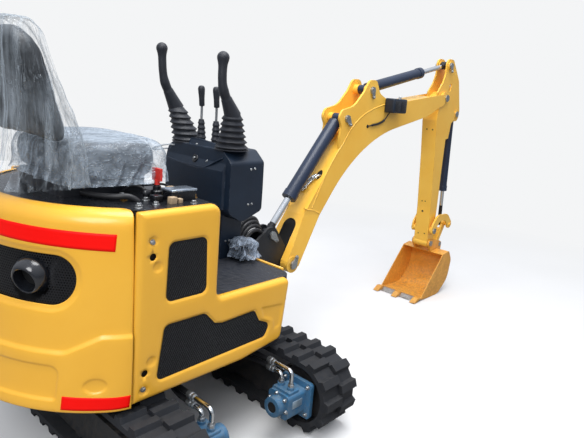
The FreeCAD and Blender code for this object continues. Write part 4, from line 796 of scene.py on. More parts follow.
def walled(thing, thickness):
    """Gives a single sheet its wall, inward from its outer face."""
    wall = thing.modifiers.new("Wall", "SOLIDIFY")
    wall.thickness = thickness
    wall.offset = -1
    return thing


def disk(u, v, radius, flat=1.0, count=32):
    """A round or oval 2D outline."""
    return [Vector((u + radius * math.cos(turn), v + radius * flat * math.sin(turn)))
            for turn in [2 * math.pi * step / count for step in range(count)]]


# Heights on the tail's skin: where its shoulder begins and its radius, and the belly's stand
SHOULDER_START = 0.863
SHOULDER = 0.042
BELLY = 0.0075


def tail_place(along, level, stand):
    """A point of the tail's skin: level is a height up to the shoulder, then a distance over it."""
    over = level - SHOULDER_START
    if over <= 0:
        return tail_point(along, level, stand)[0]
    turn = min(over / SHOULDER, math.pi / 2)
    height = SHOULDER_START + SHOULDER * math.sin(turn)
    inward = SHOULDER * (1 - math.cos(turn)) + max(0.0, over - SHOULDER * math.pi / 2)
    return tail_point(along, height, stand * math.cos(turn) - inward)[0]


def seam_distance(level):
    """How far round the tail its seam with the side cover is, at a level."""
    height = level
    if level > SHOULDER_START:
        height = SHOULDER_START + SHOULDER * math.sin(min((level - SHOULDER_START) / SHOULDER, math.pi / 2))
    half, radius, centre, corner = tail_section(height)
    seam = -0.405 + (height - 0.300) * 0.020 / 0.585
    turn = math.atan2(half - corner, math.sqrt((radius - corner) ** 2 - (half - corner) ** 2))
    end = -centre - (radius - corner) * math.cos(turn)
    if seam < end:
        return radius * turn + corner * (math.acos((end - seam) / corner) - turn)
    return radius * turn + corner * (math.pi / 2 - turn) + seam - end


def tail_pressing():
    """The rear cover's pressed skin: its slot, belly, panel and dimples."""
    top = SHOULDER_START + SHOULDER * math.pi / 2 + 0.004
    levels = [0.320 + (top - 0.320) * step / 40 for step in range(41)]
    side = []
    for level in levels:
        share = min(1.0, max(0.0, (level - top + 0.050) / 0.050))
        side.append(Vector((seam_distance(level) - 0.034 * (1 - math.sqrt(1 - min(share, 0.999) ** 2)), level)))
    outline = side + [Vector((-spot.x, spot.y)) for spot in reversed(side)]
    frame_edge = [Vector((spot.x, spot.y + (0.3 if spot.y > 0.9 else 0))) for spot in outline]
    slot = rounded_outline([(-0.381, 0.628, 0.0719), (0.381, 0.628, 0.0719), (0.381, 0.772, 0.0719),
                            (-0.381, 0.772, 0.0719)], 12)
    ridge = [(-0.70, 0.548, 0.0), (-0.468, 0.547, 0.03), (-0.370, 0.497, 0.05), (0.370, 0.497, 0.05),
             (0.468, 0.547, 0.03), (0.70, 0.548, 0.0), (0.70, 0.10, 0.0), (-0.70, 0.10, 0.0)]
    panel = rounded_outline([(-0.366, 0.350, 0.016), (0.366, 0.350, 0.016), (0.366, 0.463, 0.034),
                             (-0.366, 0.463, 0.034)], 6)
    features = [
        (frame_edge, [(-0.0062, 0.0), (-0.0045, -0.0003), (-0.0030, -0.0010), (-0.0016, -0.0020), (0.0, -0.0036)]),
        (slot, [(0.0, -0.0066), (0.0035, -0.0064)] + slope(0.0045, -0.0060, 0.022, 0.0, 6)),
        (rounded_outline(ridge, 6), slope(-0.008, BELLY, 0.008, 0.0, 7)),
        (panel, slope(-0.013, -0.0062, 0.0, 0.0, 6)),
    ]
    for way in (-1, 1):
        features.append((disk(way * 0.465, 0.402, 0.037, 0.72, 40), slope(-0.011, -0.0046, 0.0, 0.0, 5)))
    return Pressing(outline, [slot], features, 0.016)


def make_tail():
    """The rear cover's skin with its red bands, the perforated sheet and the exhaust pipe behind it."""
    grille = bpy.context.scene.excavator_grille
    pressing = tail_pressing()
    skin = outward(pressing.mesh("rear_cover_skin", tail_place))
    cover = dressed("rear_cover_skin", skin, "cover_paint", "upper", 80.0)
    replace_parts(walled(cover, 0.003), "rear_cover")

    bands = []
    spans = [(-0.478, 0.478, lambda s: 0.802 - 0.010 * (s / 0.478) ** 2, lambda s: 0.849 - 0.008 * (s / 0.478) ** 2)]
    for side in (-1, 1):
        spans.append((side * 0.378, side * 0.5645, lambda s: 0.330 - 0.001 * (abs(s) - 0.378) / 0.19,
                      lambda s: 0.371 - 0.005 * (abs(s) - 0.378) / 0.19))
    for start, end, low, high in spans:
        steps = max(8, int(abs(end - start) / 0.008))
        spots, faces = [], []
        for index in range(steps + 1):
            along = start + (end - start) * index / steps
            for part in range(7):
                spots.append((along, low(along) + (high(along) - low(along)) * part / 6))
        for index in range(steps):
            for part in range(6):
                here = index * 7 + part
                faces.append([here, here + 7, here + 8, here + 1])
        rises = pressing.heights(spots)
        bands.append(mesh_of("band", [tail_place(s, z, rise + 0.0006) for (s, z), rise in zip(spots, rises)], faces))
    for number, band in enumerate(bands):
        walled(piece("red_band_%d" % number, outward(band), "red_film", "upper"), 0.0004)

    pitch = grille.hole_pitch
    stand = -0.014
    spots, faces = [], []
    rows = int(0.17 / (pitch * 0.866)) + 2
    for row in range(-rows // 2, rows // 2 + 1):
        for column in range(-int(0.41 / pitch), int(0.41 / pitch) + 1):
            s = column * pitch + (row % 2) * pitch / 2
            z = 0.700 + row * pitch * 0.866
            if abs(z - 0.700) > 0.084 or math.hypot(s + 0.236, z - 0.693) < 0.0655:
                continue
            start = len(spots)
            for size in (0.5774, 0.36):
                for corner in range(6):
                    turn = math.pi / 6 + corner * math.pi / 3
                    spots.append(tail_place(s + pitch * size * math.cos(turn), z + pitch * size * math.sin(turn),
                                            stand))
            for corner in range(6):
                after = (corner + 1) % 6
                faces.append([start + corner, start + after, start + 6 + after, start + 6 + corner])
    piece("tail_mesh", outward(mesh_of("tail_mesh", spots, faces)), "grille_black", "upper", smooth=False)
    # A near-black sheet behind the perforated sheet: painted shade of the space behind it
    shade_sheet = skin_patch("tail_backing", -0.47, 0.47, lambda s: 0.53, lambda s: 0.85, -0.06, 0.002, 44)
    piece("tail_backing", shade_sheet, "shade_and_rubber_black", "upper")

    mouth = tail_place(-0.231, 0.688, 0.004)
    axis = Vector((-0.86, -0.42, -0.25)).normalized()
    foot = mouth - axis * 0.090
    stub = lathe("stub", foot - axis * 0.050, axis, [(0.034, 0.0), (0.036, 0.004), (0.036, 0.055), (0.034, 0.058)], 32)
    can = lathe("can", (-0.490, -0.270, 0.700), (0, 1, 0), [
        (0.044, 0.0), (0.054, 0.003), (0.0585, 0.010), (0.0597, 0.020), (0.0597, 0.310), (0.0585, 0.320),
        (0.054, 0.327), (0.044, 0.330)], 40)
    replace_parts(piece("muffler_can", joined("muffler", [can, stub]), "cast_iron", "upper"), "exhaust_muffler")
    pipe = lathe("pipe", foot, axis, [
        (0.0540, 0.0), (0.0576, 0.018), (0.0594, 0.036), (0.0588, 0.050), (0.0564, 0.063), (0.0520, 0.075),
        (0.0466, 0.084), (0.0420, 0.0888), (0.0388, 0.0900), (0.0362, 0.0885), (0.0350, 0.084), (0.0342, 0.062),
        (0.0336, 0.004)], 64)
    piece("exhaust_pipe", pipe, "pipe_enamel", "upper")
    # A near-black lining and plug inside the pipe: painted shade of its inside
    throat = lathe("throat", foot, axis, [(0.0330, 0.0042), (0.0334, 0.0560), (0.0250, 0.0565), (0.0010, 0.0566)], 40)
    piece("exhaust_throat", throat, "shade_and_rubber_black", "upper")


def outward(mesh):
    """A sheet's mesh with its faces turned away from the slew axis."""
    work = bmesh.new()
    work.from_mesh(mesh)
    work.normal_update()
    facing = sum(face.normal.dot(face.calc_center_median() * Vector((1, 1, 0))) * face.calc_area()
                 for face in work.faces)
    if facing < 0:
        bmesh.ops.reverse_faces(work, faces=work.faces[:])
    work.to_mesh(mesh)
    work.free()
    return mesh


# Side covers

COVER_OUTLINE = [
    (-0.401, 0.322, 0.006), (0.036, 0.324, 0.060), (0.236, 0.352, 0.030), (0.262, 0.590, 0.022),
    (-0.090, 0.590, 0.026), (-0.090, 0.905, 0.034), (-0.381, 0.905, 0.006),
]
UPPER_GRILLE = [(-0.284, 0.629, 0.016), (-0.144, 0.629, 0.016), (-0.150, 0.801, 0.016), (-0.277, 0.801, 0.016)]
LOWER_GRILLE = [
    (-0.310, 0.380, 0.012), (0.140, 0.392, 0.016), (0.158, 0.430, 0.014), (0.107, 0.452, 0.014),
    (0.082, 0.496, 0.012), (-0.062, 0.490, 0.014), (-0.098, 0.498, 0.020), (-0.140, 0.543, 0.020),
    (-0.286, 0.543, 0.014),
]
COVER_HOLES = [(-0.341, 0.774), (-0.361, 0.416)]
COVER_BOLTS = [(-0.341, 0.817), (-0.363, 0.363)]
COVER_FACE = 0.455
COVER_ROUND = 0.018


def grown(outline, by):
    """A 2D outline moved outward by a distance."""
    count = len(outline)
    area = sum(outline[i - 1][0] * outline[i][1] - outline[i][0] * outline[i - 1][1] for i in range(count))
    sign = 1 if area > 0 else -1
    result = []
    for index in range(count):
        back = (outline[index] - outline[index - 1]).normalized()
        ahead = (outline[(index + 1) % count] - outline[index]).normalized()
        way = Vector((back.y + ahead.y, -back.x - ahead.x))
        way = way.normalized() if way.length > 1e-6 else Vector((back.y, -back.x))
        lean = max(0.35, way.dot(Vector((ahead.y, -ahead.x))))
        result.append(outline[index] + way * (sign * by / lean))
    return result


def strands(outline, pitch, width, slant, side):
    """Slanted strands of expanded metal inside an outline on a side cover."""
    us = [point[0] for point in outline]
    vs = [point[1] for point in outline]
    middle = Vector(((min(us) + max(us)) / 2, (min(vs) + max(vs)) / 2))
    reach = math.hypot(max(us) - min(us), max(vs) - min(vs)) / 2
    spots, faces = [], []
    for lean, depth, width in ((slant, 0.0, width), (math.pi - slant * 0.92, -0.0012, width * 0.55)):
        along = Vector((math.cos(lean), math.sin(lean)))
        across = Vector((-along.y, along.x))
        for step in range(-int(reach / pitch), int(reach / pitch) + 1):
            foot = middle + across * (step * pitch)
            cuts = []
            for index, here in enumerate(outline):
                before = outline[index - 1]
                edge = here - before
                cross = along.x * edge.y - along.y * edge.x
                if abs(cross) < 1e-12:
                    continue
                gap = before - foot
                on_edge = (along.y * gap.x - along.x * gap.y) / cross
                on_line = (edge.y * gap.x - edge.x * gap.y) / cross
                if 0 <= on_edge < 1:
                    cuts.append(on_line)
            cuts.sort()
            for low, high in zip(cuts[::2], cuts[1::2]):
                if high - low < 0.002:
                    continue
                start = len(spots)
                for distance in (low, high):
                    for shift, rise in ((-0.5, 0.0), (0.5, 0.0004), (0.5, 0.0016), (-0.5, 0.0010)):
                        place = foot + along * distance + across * (shift * width)
                        spots.append(Vector((place.x, side * (0.4498 + depth + rise), place.y)))
                for corner in range(4):
                    after = (corner + 1) % 4
                    faces.append([start + corner, start + after, start + 4 + after, start + 4 + corner])
                faces += [[start + 3, start + 2, start + 1, start], [start + 4, start + 5, start + 6, start + 7]]
    return mesh_of("strands", spots, faces)


def make_side_covers():
    """The side covers' pressed skins with their holes and bolts, and the expanded metal in their grilles."""
    grille = bpy.context.scene.excavator_grille
    outline = rounded_outline(COVER_OUTLINE, 7)
    grilles = [rounded_outline(corners, 5) for corners in (UPPER_GRILLE, LOWER_GRILLE)]
    holes = [disk(x, z, 0.0112, 1.0, 28) for x, z in COVER_HOLES]
    features = [(outline, rolled_edge(COVER_ROUND, 6))]
    for loop in grilles:
        features.append((loop, [(0.0, -0.0066), (0.003, -0.0063)] + slope(0.0038, -0.0060, 0.0160, 0.0, 6)))
    for x, z in COVER_BOLTS:
        features.append((disk(x, z + (0.004 if z > 0.6 else -0.003), 0.020, 0.92), slope(-0.012, -0.0058, 0.0, 0.0)))
    for x, z in ((-0.323, 0.741), (-0.338, 0.447)):
        features.append((disk(x, z, 0.021), slope(-0.013, -0.0052, 0.0, 0.0)))
    features.append((rounded_outline([(0.105, 0.512, 0.01), (0.235, 0.500, 0.02), (0.222, 0.400, 0.02),
                                      (0.186, 0.400, 0.01), (0.176, 0.440, 0.02), (0.126, 0.462, 0.02)]),
                     slope(-0.014, -0.0032, 0.0, 0.0)))
    pressing = Pressing(outline, grilles + holes, features, 0.016)
    for side, word in ((-1, "right"), (1, "left")):
        mesh = pressing.mesh("side_cover", lambda x, z, height: Vector((x, side * (COVER_FACE + height), z)))
        rim = []
        for index, here in enumerate(spaced(outline, 0.006)):
            rim.append(Vector((here.x, side * (COVER_FACE - COVER_ROUND), here.y)))
            rim.append(Vector((here.x, side * (COVER_FACE - 0.028), here.y)))
        count = len(rim)
        walls = [[index, index + 1, (index + 3) % count, (index + 2) % count] for index in range(0, count, 2)]
        whole = joined("side_cover", [mesh, mesh_of("rim", rim, walls)])
        work = bmesh.new()
        work.from_mesh(whole)
        bmesh.ops.remove_doubles(work, verts=work.verts[:], dist=0.0002)
        bmesh.ops.recalc_face_normals(work, faces=work.faces[:])
        facing = sum(face.normal.y * side * face.calc_area() for face in work.faces)
        if facing < 0:
            bmesh.ops.reverse_faces(work, faces=work.faces[:])
        work.to_mesh(whole)
        work.free()
        cover = dressed("side_cover_skin_" + word, whole, "cover_paint", "upper", 80.0)
        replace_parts(walled(cover, 0.003), "side_cover_" + word)
    meshes = []
    for side in (-1, 1):
        for loop in grilles:
            meshes.append(strands(grown(loop, -0.0004), grille.pitch, grille.strand, grille.slant, side))
    piece("side_grille_strands", joined("strands", meshes), "strand_highlight_grey", "upper", smooth=False)
    # Near-black discs just behind the covers' holes: painted shade seen through them
    shades = [lathe("shade", (x, side * (COVER_FACE - 0.010), z), (0, -side, 0), [(0.0160, 0.0), (0.0160, 0.0015)], 20)
              for side in (-1, 1) for x, z in COVER_HOLES]
    piece("cover_hole_shades", joined("shades", shades), "shade_and_rubber_black", "upper", smooth=False)
    bolts = [(Vector((x, side * (COVER_FACE - 0.0058), z)), Vector((0, side, 0)))
             for side in (-1, 1) for x, z in COVER_BOLTS]
    repeat("cover_bolts", hex_bolt(0.012, 0.0075), bolts, "bright_zinc", "upper")


# Seat with its film

def ring_surface(name, rings, segments, squareness, fold=None, closed=False):
    """A surface through level rings (x, y, z of the centre, half sizes in X and Y), its top ring drawn to a point."""
    spots, faces = [], []
    for row, (x, y, z, wide, deep) in enumerate(rings):
        for step in range(segments):
            turn = 2 * math.pi * step / segments
            cosine, sine = math.cos(turn), math.sin(turn)
            reach = (abs(cosine) ** squareness + abs(sine) ** squareness) ** (-1 / squareness)
            spot = Vector((x + wide * reach * cosine, y + deep * reach * sine, z))
            if fold:
                out = Vector((cosine * deep, sine * wide, 0)).normalized()
                spot += fold(turn, row / (len(rings) - 1), out, spot)
            spots.append(spot)
    for row in range(len(rings) - 1):
        for step in range(segments):
            after = (step + 1) % segments
            low, high = row * segments, (row + 1) * segments
            faces.append([low + after, low + step, high + step, high + after])
    faces.append(list(range(segments)))
    if closed:
        faces.append([len(spots) - segments + step for step in range(segments)][::-1])
    return mesh_of(name, spots, faces)


def between_rings(rings, steps):
    """More rings between the given ones, along a soft curve."""
    result = []
    for index in range(len(rings) - 1):
        before = rings[max(index - 1, 0)]
        start, end = rings[index], rings[index + 1]
        after = rings[min(index + 2, len(rings) - 1)]
        for step in range(steps):
            share = step / steps
            result.append(tuple(
                0.5 * (2 * b + (c - a) * share + (2 * a - 5 * b + 4 * c - d) * share ** 2
                       + (3 * b - a - 3 * c + d) * share ** 3)
                for a, b, c, d in zip(before, start, end, after)))
    return result + [rings[-1]]


def remeshed(name, mesh, voxel):
    """An even closed mesh over another."""
    thing = bpy.data.objects.new(name, mesh)
    bpy.context.scene.collection.objects.link(thing)
    modifier = thing.modifiers.new("Remesh", "REMESH")
    modifier.mode = "VOXEL"
    modifier.voxel_size = voxel
    bpy.context.view_layer.update()
    even = bpy.data.meshes.new_from_object(thing.evaluated_get(bpy.context.evaluated_depsgraph_get()))
    bpy.data.objects.remove(thing)
    return even


def cushion(name, mesh, node):
    """A padded piece: remeshed, swollen by a cloth simulation whose points are capped to their room."""
    seat = bpy.context.scene.excavator_seat
    mesh = remeshed(name, mesh, seat.voxel)
    scene = bpy.context.scene
    thing = bpy.data.objects.new(name + "_cloth", mesh)
    scene.collection.objects.link(thing)
    cloth = thing.modifiers.new("Cloth", "CLOTH")
    cloth.settings.use_pressure = True
    cloth.settings.uniform_pressure_force = seat.pressure
    cloth.settings.effector_weights.gravity = 0.0
    cloth.settings.quality = 4
    cloth.point_cache.frame_start = 1
    cloth.point_cache.frame_end = seat.frames + 1
    for moment in range(1, seat.frames + 1):
        scene.frame_set(moment)
    swollen = bpy.data.meshes.new_from_object(thing.evaluated_get(bpy.context.evaluated_depsgraph_get()))
    for before, after in zip(mesh.vertices, swollen.vertices):
        step = after.co - before.co
        if step.length > seat.swell:
            after.co = before.co + step.normalized() * seat.swell
    bpy.data.objects.remove(thing)
    scene.frame_set(1)
    mesh = swollen
    work = bmesh.new()
    work.from_mesh(mesh)
    for _ in range(2):
        bmesh.ops.smooth_vert(work, verts=work.verts[:], factor=0.5, use_axis_x=True, use_axis_y=True,
                              use_axis_z=True)
    work.to_mesh(mesh)
    work.free()
    made = piece(name, mesh, "seat_vinyl", "upper", sharp=80.0)
    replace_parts(made, node)
    return made


def pleats(seed, folds, lean, top, hem, power=1.6):
    """Fold function of hanging film: crests that run down it and grow towards its hem."""
    def fold(turn, share, out, spot):
        drift = noise.noise(Vector((math.cos(turn) * 1.7 + seed, math.sin(turn) * 1.7, share * 2.2)))
        rise = 0.0
        for order, (count, weight) in enumerate(folds):
            wave = abs(math.sin(turn * count / 2 + lean * share * (1 + order) + seed * order + 2.6 * drift))
            rise += weight * (1 - wave) ** power
        fine = noise.noise(spot * 21 + Vector((seed, 0, 0))) * 0.35
        size = top + (hem - top) * share ** 1.25
        return out * (size * (rise + fine * 0.6 - 0.25)) + Vector((0, 0, 0.25 * size * fine))
    return fold


def film(name, rings, segments, squareness, fold, finish):
    """One sheet of film over what it rests on."""
    mesh = ring_surface(name, rings, segments, squareness, fold)
    thing = dressed(name, mesh, finish, "upper", 180.0)
    return thing


# Rings of the seat and its films: centre x, y, z, half length, half width, in metres
CUSHION_RINGS = [
    (-0.312, 0, 1.068, 0.050, 0.080), (-0.312, 0, 1.066, 0.110, 0.165), (-0.312, 0, 1.056, 0.146, 0.201),
    (-0.312, 0, 1.036, 0.158, 0.213), (-0.312, 0, 1.006, 0.160, 0.216), (-0.312, 0, 0.976, 0.156, 0.210),
    (-0.312, 0, 0.962, 0.148, 0.203), (-0.312, 0, 0.959, 0.100, 0.150),
]
BACK_RINGS = [
    (-0.586, 0, 1.385, 0.012, 0.110), (-0.584, 0, 1.380, 0.022, 0.148), (-0.576, 0, 1.352, 0.031, 0.190),
    (-0.563, 0, 1.310, 0.034, 0.209), (-0.537, 0, 1.230, 0.034, 0.214), (-0.512, 0, 1.150, 0.033, 0.213),
    (-0.490, 0, 1.095, 0.030, 0.208), (-0.483, 0, 1.072, 0.024, 0.198), (-0.482, 0, 1.067, 0.014, 0.160),
]
BACK_FILM_RINGS = [
    (-0.590, 0, 1.399, 0.006, 0.030), (-0.590, 0, 1.398, 0.026, 0.150), (-0.589, 0, 1.393, 0.040, 0.206),
    (-0.586, 0, 1.370, 0.051, 0.231), (-0.578, 0, 1.325, 0.058, 0.241), (-0.562, 0, 1.250, 0.068, 0.246),
    (-0.543, 0, 1.165, 0.084, 0.252), (-0.528, 0, 1.090, 0.102, 0.259), (-0.526, 0, 1.030, 0.112, 0.264),
    (-0.534, 0, 0.985, 0.122, 0.270), (-0.540, 0, 0.950, 0.130, 0.276),
]
CUSHION_FILM_RINGS = [
    (-0.300, 0, 1.086, 0.006, 0.010), (-0.300, 0, 1.085, 0.070, 0.090), (-0.300, 0, 1.081, 0.120, 0.160),
    (-0.300, 0, 1.070, 0.158, 0.212), (-0.299, 0, 1.050, 0.175, 0.234), (-0.298, 0, 1.022, 0.180, 0.241),
    (-0.298, 0, 0.992, 0.181, 0.245), (-0.299, 0, 0.965, 0.183, 0.250), (-0.300, 0, 0.944, 0.186, 0.256),
]
PEDAL_FILM_RINGS = [
    (0.268, -0.176, 0.676, 0.006, 0.010), (0.268, -0.176, 0.673, 0.026, 0.034), (0.268, -0.176, 0.664, 0.040, 0.048),
    (0.268, -0.177, 0.648, 0.044, 0.051), (0.269, -0.178, 0.632, 0.042, 0.048), (0.271, -0.180, 0.616, 0.045, 0.050),
    (0.273, -0.182, 0.602, 0.052, 0.056),
]


def make_seat():
    """Two vinyl cushions and the film draped over each."""
    base = cushion("seat_cushion_pad", ring_surface("pad", between_rings(CUSHION_RINGS, 4), 96, 7, closed=True),
                   "seat_cushion")
    back = cushion("seat_back_pad", ring_surface("pad", between_rings(BACK_RINGS, 4), 96, 6, closed=True),
                   "seat_back")
    film("seat_film_back", between_rings(BACK_FILM_RINGS, 6), 420, 5,
         pleats(3.1, ((11, 0.55), (19, 0.4), (31, 0.22)), 1.6, 0.006, 0.028), "back_film")
    film("seat_film_cushion", between_rings(CUSHION_FILM_RINGS, 6), 420, 5,
         pleats(7.7, ((9, 0.5), (17, 0.4), (27, 0.25)), 1.1, 0.005, 0.020), "cushion_film")
    film("pedal_film", between_rings(PEDAL_FILM_RINGS, 6), 220, 2.6,
         pleats(5.3, ((7, 0.7), (13, 0.5), (23, 0.4)), 2.4, 0.010, 0.026), "pedal_film")


# Console and controls

def bellows(foot, top, foot_radius, top_radius, ridges, segments=44):
    """Rubber bellows that lean from foot to top: sharp folds that hang over each other, on a flat flange."""
    foot, top = Vector(foot), Vector(top)
    profile = [(0.0, 1.0), (0.022, 1.0), (0.024, 0.90)]
    for fold in range(ridges):
        low = 0.03 + 0.95 * fold / ridges
        step = 0.95 / ridges
        profile += [(low + 0.06 * step, 0.84), (low + 0.16 * step, 0.93), (low + 0.24 * step, 0.985),
                    (low + 0.32 * step, 0.99), (low + 0.52 * step, 0.93), (low + 0.86 * step, 0.815)]
    profile.append((1.0, 0.80))
    spots, faces = [], []
    for share, factor in profile:
        radius = (foot_radius + (top_radius - foot_radius) * min(1.0, share) ** 0.9) * factor
        centre = foot.lerp(top, share)
        for step in range(segments):
            turn = 2 * math.pi * step / segments
            spots.append(centre + Vector((radius * math.cos(turn), radius * math.sin(turn), 0)))
    for index in range(len(profile) - 1):
        for step in range(segments):
            after = (step + 1) % segments
            low, high = index * segments, (index + 1) * segments
            faces.append([low + step, low + after, high + after, high + step])
    faces.append(list(range(segments))[::-1])
    faces.append([len(spots) - segments + step for step in range(segments)])
    return mesh_of("bellows", spots, faces)


def round_end(route, radius, steps=7):
    """A route whose end is cut into steps for a round tip, and how far each of its points is from the tip."""
    ends = [(route[-1] - spot).length for spot in route]
    kept = [spot for spot, far in zip(route, ends) if far > radius * 1.05]
    way = (route[-1] - kept[-1]).normalized()
    for step in range(steps + 1):
        back = radius * (1 - math.sin(math.pi / 2 * step / steps))
        kept.append(route[-1] - way * back)
    return kept, [(route[-1] - spot).length for spot in kept]


# Operating levers: bend and knob on the left and on the right, in metres
LEVERS = [(1, (0.110, 0.180, 1.272), (0.101, 0.180, 1.402)), (-1, (0.112, 0.180, 1.262), (0.113, 0.180, 1.374))]
CONSOLE_TOP = 1.028


def make_controls():
    """Bellows, operating levers, travel levers, screws, switch and pull cord of the console."""
    boots, grips = [], []
    for side, bend, knob in LEVERS:
        boots.append(bellows((0.2145, side * 0.1360, CONSOLE_TOP), (0.176, side * 0.174, 1.166), 0.0678, 0.0375, 6))
        boots.append(bellows((0.210, side * 0.045, CONSOLE_TOP), (0.206, side * 0.046, 1.128), 0.0225, 0.0130, 5, 28))
        bend = Vector((bend[0], side * bend[1], bend[2]))
        knob = Vector((knob[0], side * knob[1], knob[2]))
        foot = Vector((0.176, side * 0.175, 1.160))
        tip = knob + (knob - bend).normalized() * 0.010
        route = smooth_line([foot, foot.lerp(bend, 0.45), bend + (foot - bend) * 0.12, bend + (knob - bend) * 0.25,
                             knob.lerp(bend, 0.35), tip], 10)
        head = 0.0225
        route, gaps = round_end(route, head)
        radii = []
        length = gaps[0]
        for gap in gaps:
            share = 1 - gap / length
            skirt = 0.0180 + 0.0135 * max(0.0, 1 - share / 0.36) ** 1.15
            grip = 0.0160 + 0.0020 * max(0.0, 1 - abs(share - 0.42) / 0.12)
            radius = skirt if share < 0.30 else grip + (0.0180 - 0.0160) * max(0.0, 1 - (share - 0.30) / 0.2)
            radius += (head - 0.0160) * math.exp(-(max(0.0, gap - 0.020) / 0.020) ** 2)
            if gap < head:
                radius *= math.sqrt(max(0.0004, 1 - (1 - gap / head) ** 2))
            radii.append(radius)
        grips.append(sweep("lever", route, radii, 26))
    boots_piece = piece("bellows_boots", joined("boots", boots), "lever_rubber", "upper", sharp=48.0)
    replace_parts(boots_piece, "lever_boots")
    for side in (-1, 1):
        foot = Vector((0.206, side * 0.046, 1.180))
        lean = Vector((-0.010, 0, 0.110)).normalized()
        grips.append(lathe("travel_grip", foot, lean, [
            (0.0095, 0.0), (0.0110, 0.004), (0.0112, 0.030), (0.0135, 0.058), (0.0140, 0.066), (0.0125, 0.074),
            (0.0085, 0.079), (0.001, 0.0805)], 24))
    levers_piece = piece("lever_grips", joined("grips", grips), "lever_rubber", "upper", sharp=60.0)
    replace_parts(levers_piece, "control_levers")
    rods = [sweep("rod", [(0.206, side * 0.046, 1.120), (0.206, side * 0.046, 1.150), (0.2055, side * 0.046, 1.185)],
                  0.005, 12) for side in (-1, 1)]
    piece("travel_rods", joined("rods", rods), "bright_zinc", "upper")

    right = Vector((0, -1, 0))
    screws = [(Vector((x, -0.2, z)), right) for x, z in ((0.265, 0.958), (0.285, 0.960), (0.260, 0.819), (0.279, 0.820))]
    screws += [(Vector((x, 0.2, z)), -right) for x, z in ((0.265, 0.958), (0.285, 0.960), (0.260, 0.819), (0.279, 0.820))]
    screws += [(Vector((x, side * 0.128, 0.658)), Vector((0, side, 0))) for x in (0.216, 0.236) for side in (-1, 1)]
    slope_way = Vector((-0.954, 0.0, 0.299))
    for x, y, z in ((0.1600, -0.058, 0.975), (0.1765, 0.031, 1.030), (0.1765, -0.151, 1.030), (0.1765, 0.165, 1.028)):
        screws.append((Vector((0.151 + (z - 0.950) * 0.3125, y, z)), slope_way))
    repeat("console_screws", cap_screw(0.0042, 0.0034), screws, "bright_zinc", "upper")

    lip = smooth_line([(0.1535, 0.196, 0.957), (0.1525, 0.090, 0.946), (0.1525, -0.022, 0.940), (0.1530, -0.075, 0.958),
                       (0.1545, -0.124, 0.985), (0.1590, -0.150, 0.998)], 8)
    piece("dash_lip", sweep("lip", lip, 0.0032, 10), "console_plastic", "upper", sharp=80.0)
    place = Vector((0.1595, 0.015, 0.977))
    switch = [lathe("switch", place - slope_way * 0.002, slope_way, [
        (0.0170, 0.0), (0.0170, 0.0040), (0.0155, 0.0056), (0.0120, 0.0060), (0.0112, 0.0045), (0.0010, 0.0044)], 32)]
    piece("key_switch", joined("switch", switch), "unit_black", "upper")
    blade = lathe("key", place + slope_way * 0.002, slope_way, [
        (0.0052, 0.0), (0.0052, 0.0060), (0.0040, 0.0072), (0.0010, 0.0075)], 20)
    piece("key_barrel", blade, "bright_zinc", "upper")
    loop = smooth_line([(0.172, 0.158, 1.010), (0.150, 0.160, 1.014), (0.128, 0.178, 1.012), (0.112, 0.206, 1.002),
                        (0.108, 0.238, 0.990), (0.124, 0.262, 0.981), (0.146, 0.262, 0.981), (0.160, 0.240, 0.986),
                        (0.166, 0.216, 0.990), (0.172, 0.200, 0.992)], 10)
    cord = piece("pull_cord", sweep("cord", loop, 0.0034, 12), "cord_nylon", "upper", sharp=80.0)


# Fittings on the deck

def rounded_block(low, high, radius, segments=3):
    """A box whose edges are all rounded."""
    work = bmesh.new()
    bmesh.ops.create_cube(work, size=1.0)
    low, high = Vector(low), Vector(high)
    for corner in work.verts:
        corner.co = (low + high) / 2 + Vector([(high - low)[axis] * corner.co[axis] for axis in range(3)])
    bmesh.ops.bevel(work, geom=work.edges[:], offset=radius, segments=segments, profile=0.5, affect="EDGES")
    mesh = bpy.data.meshes.new("block")
    work.to_mesh(mesh)
    work.free()
    return mesh


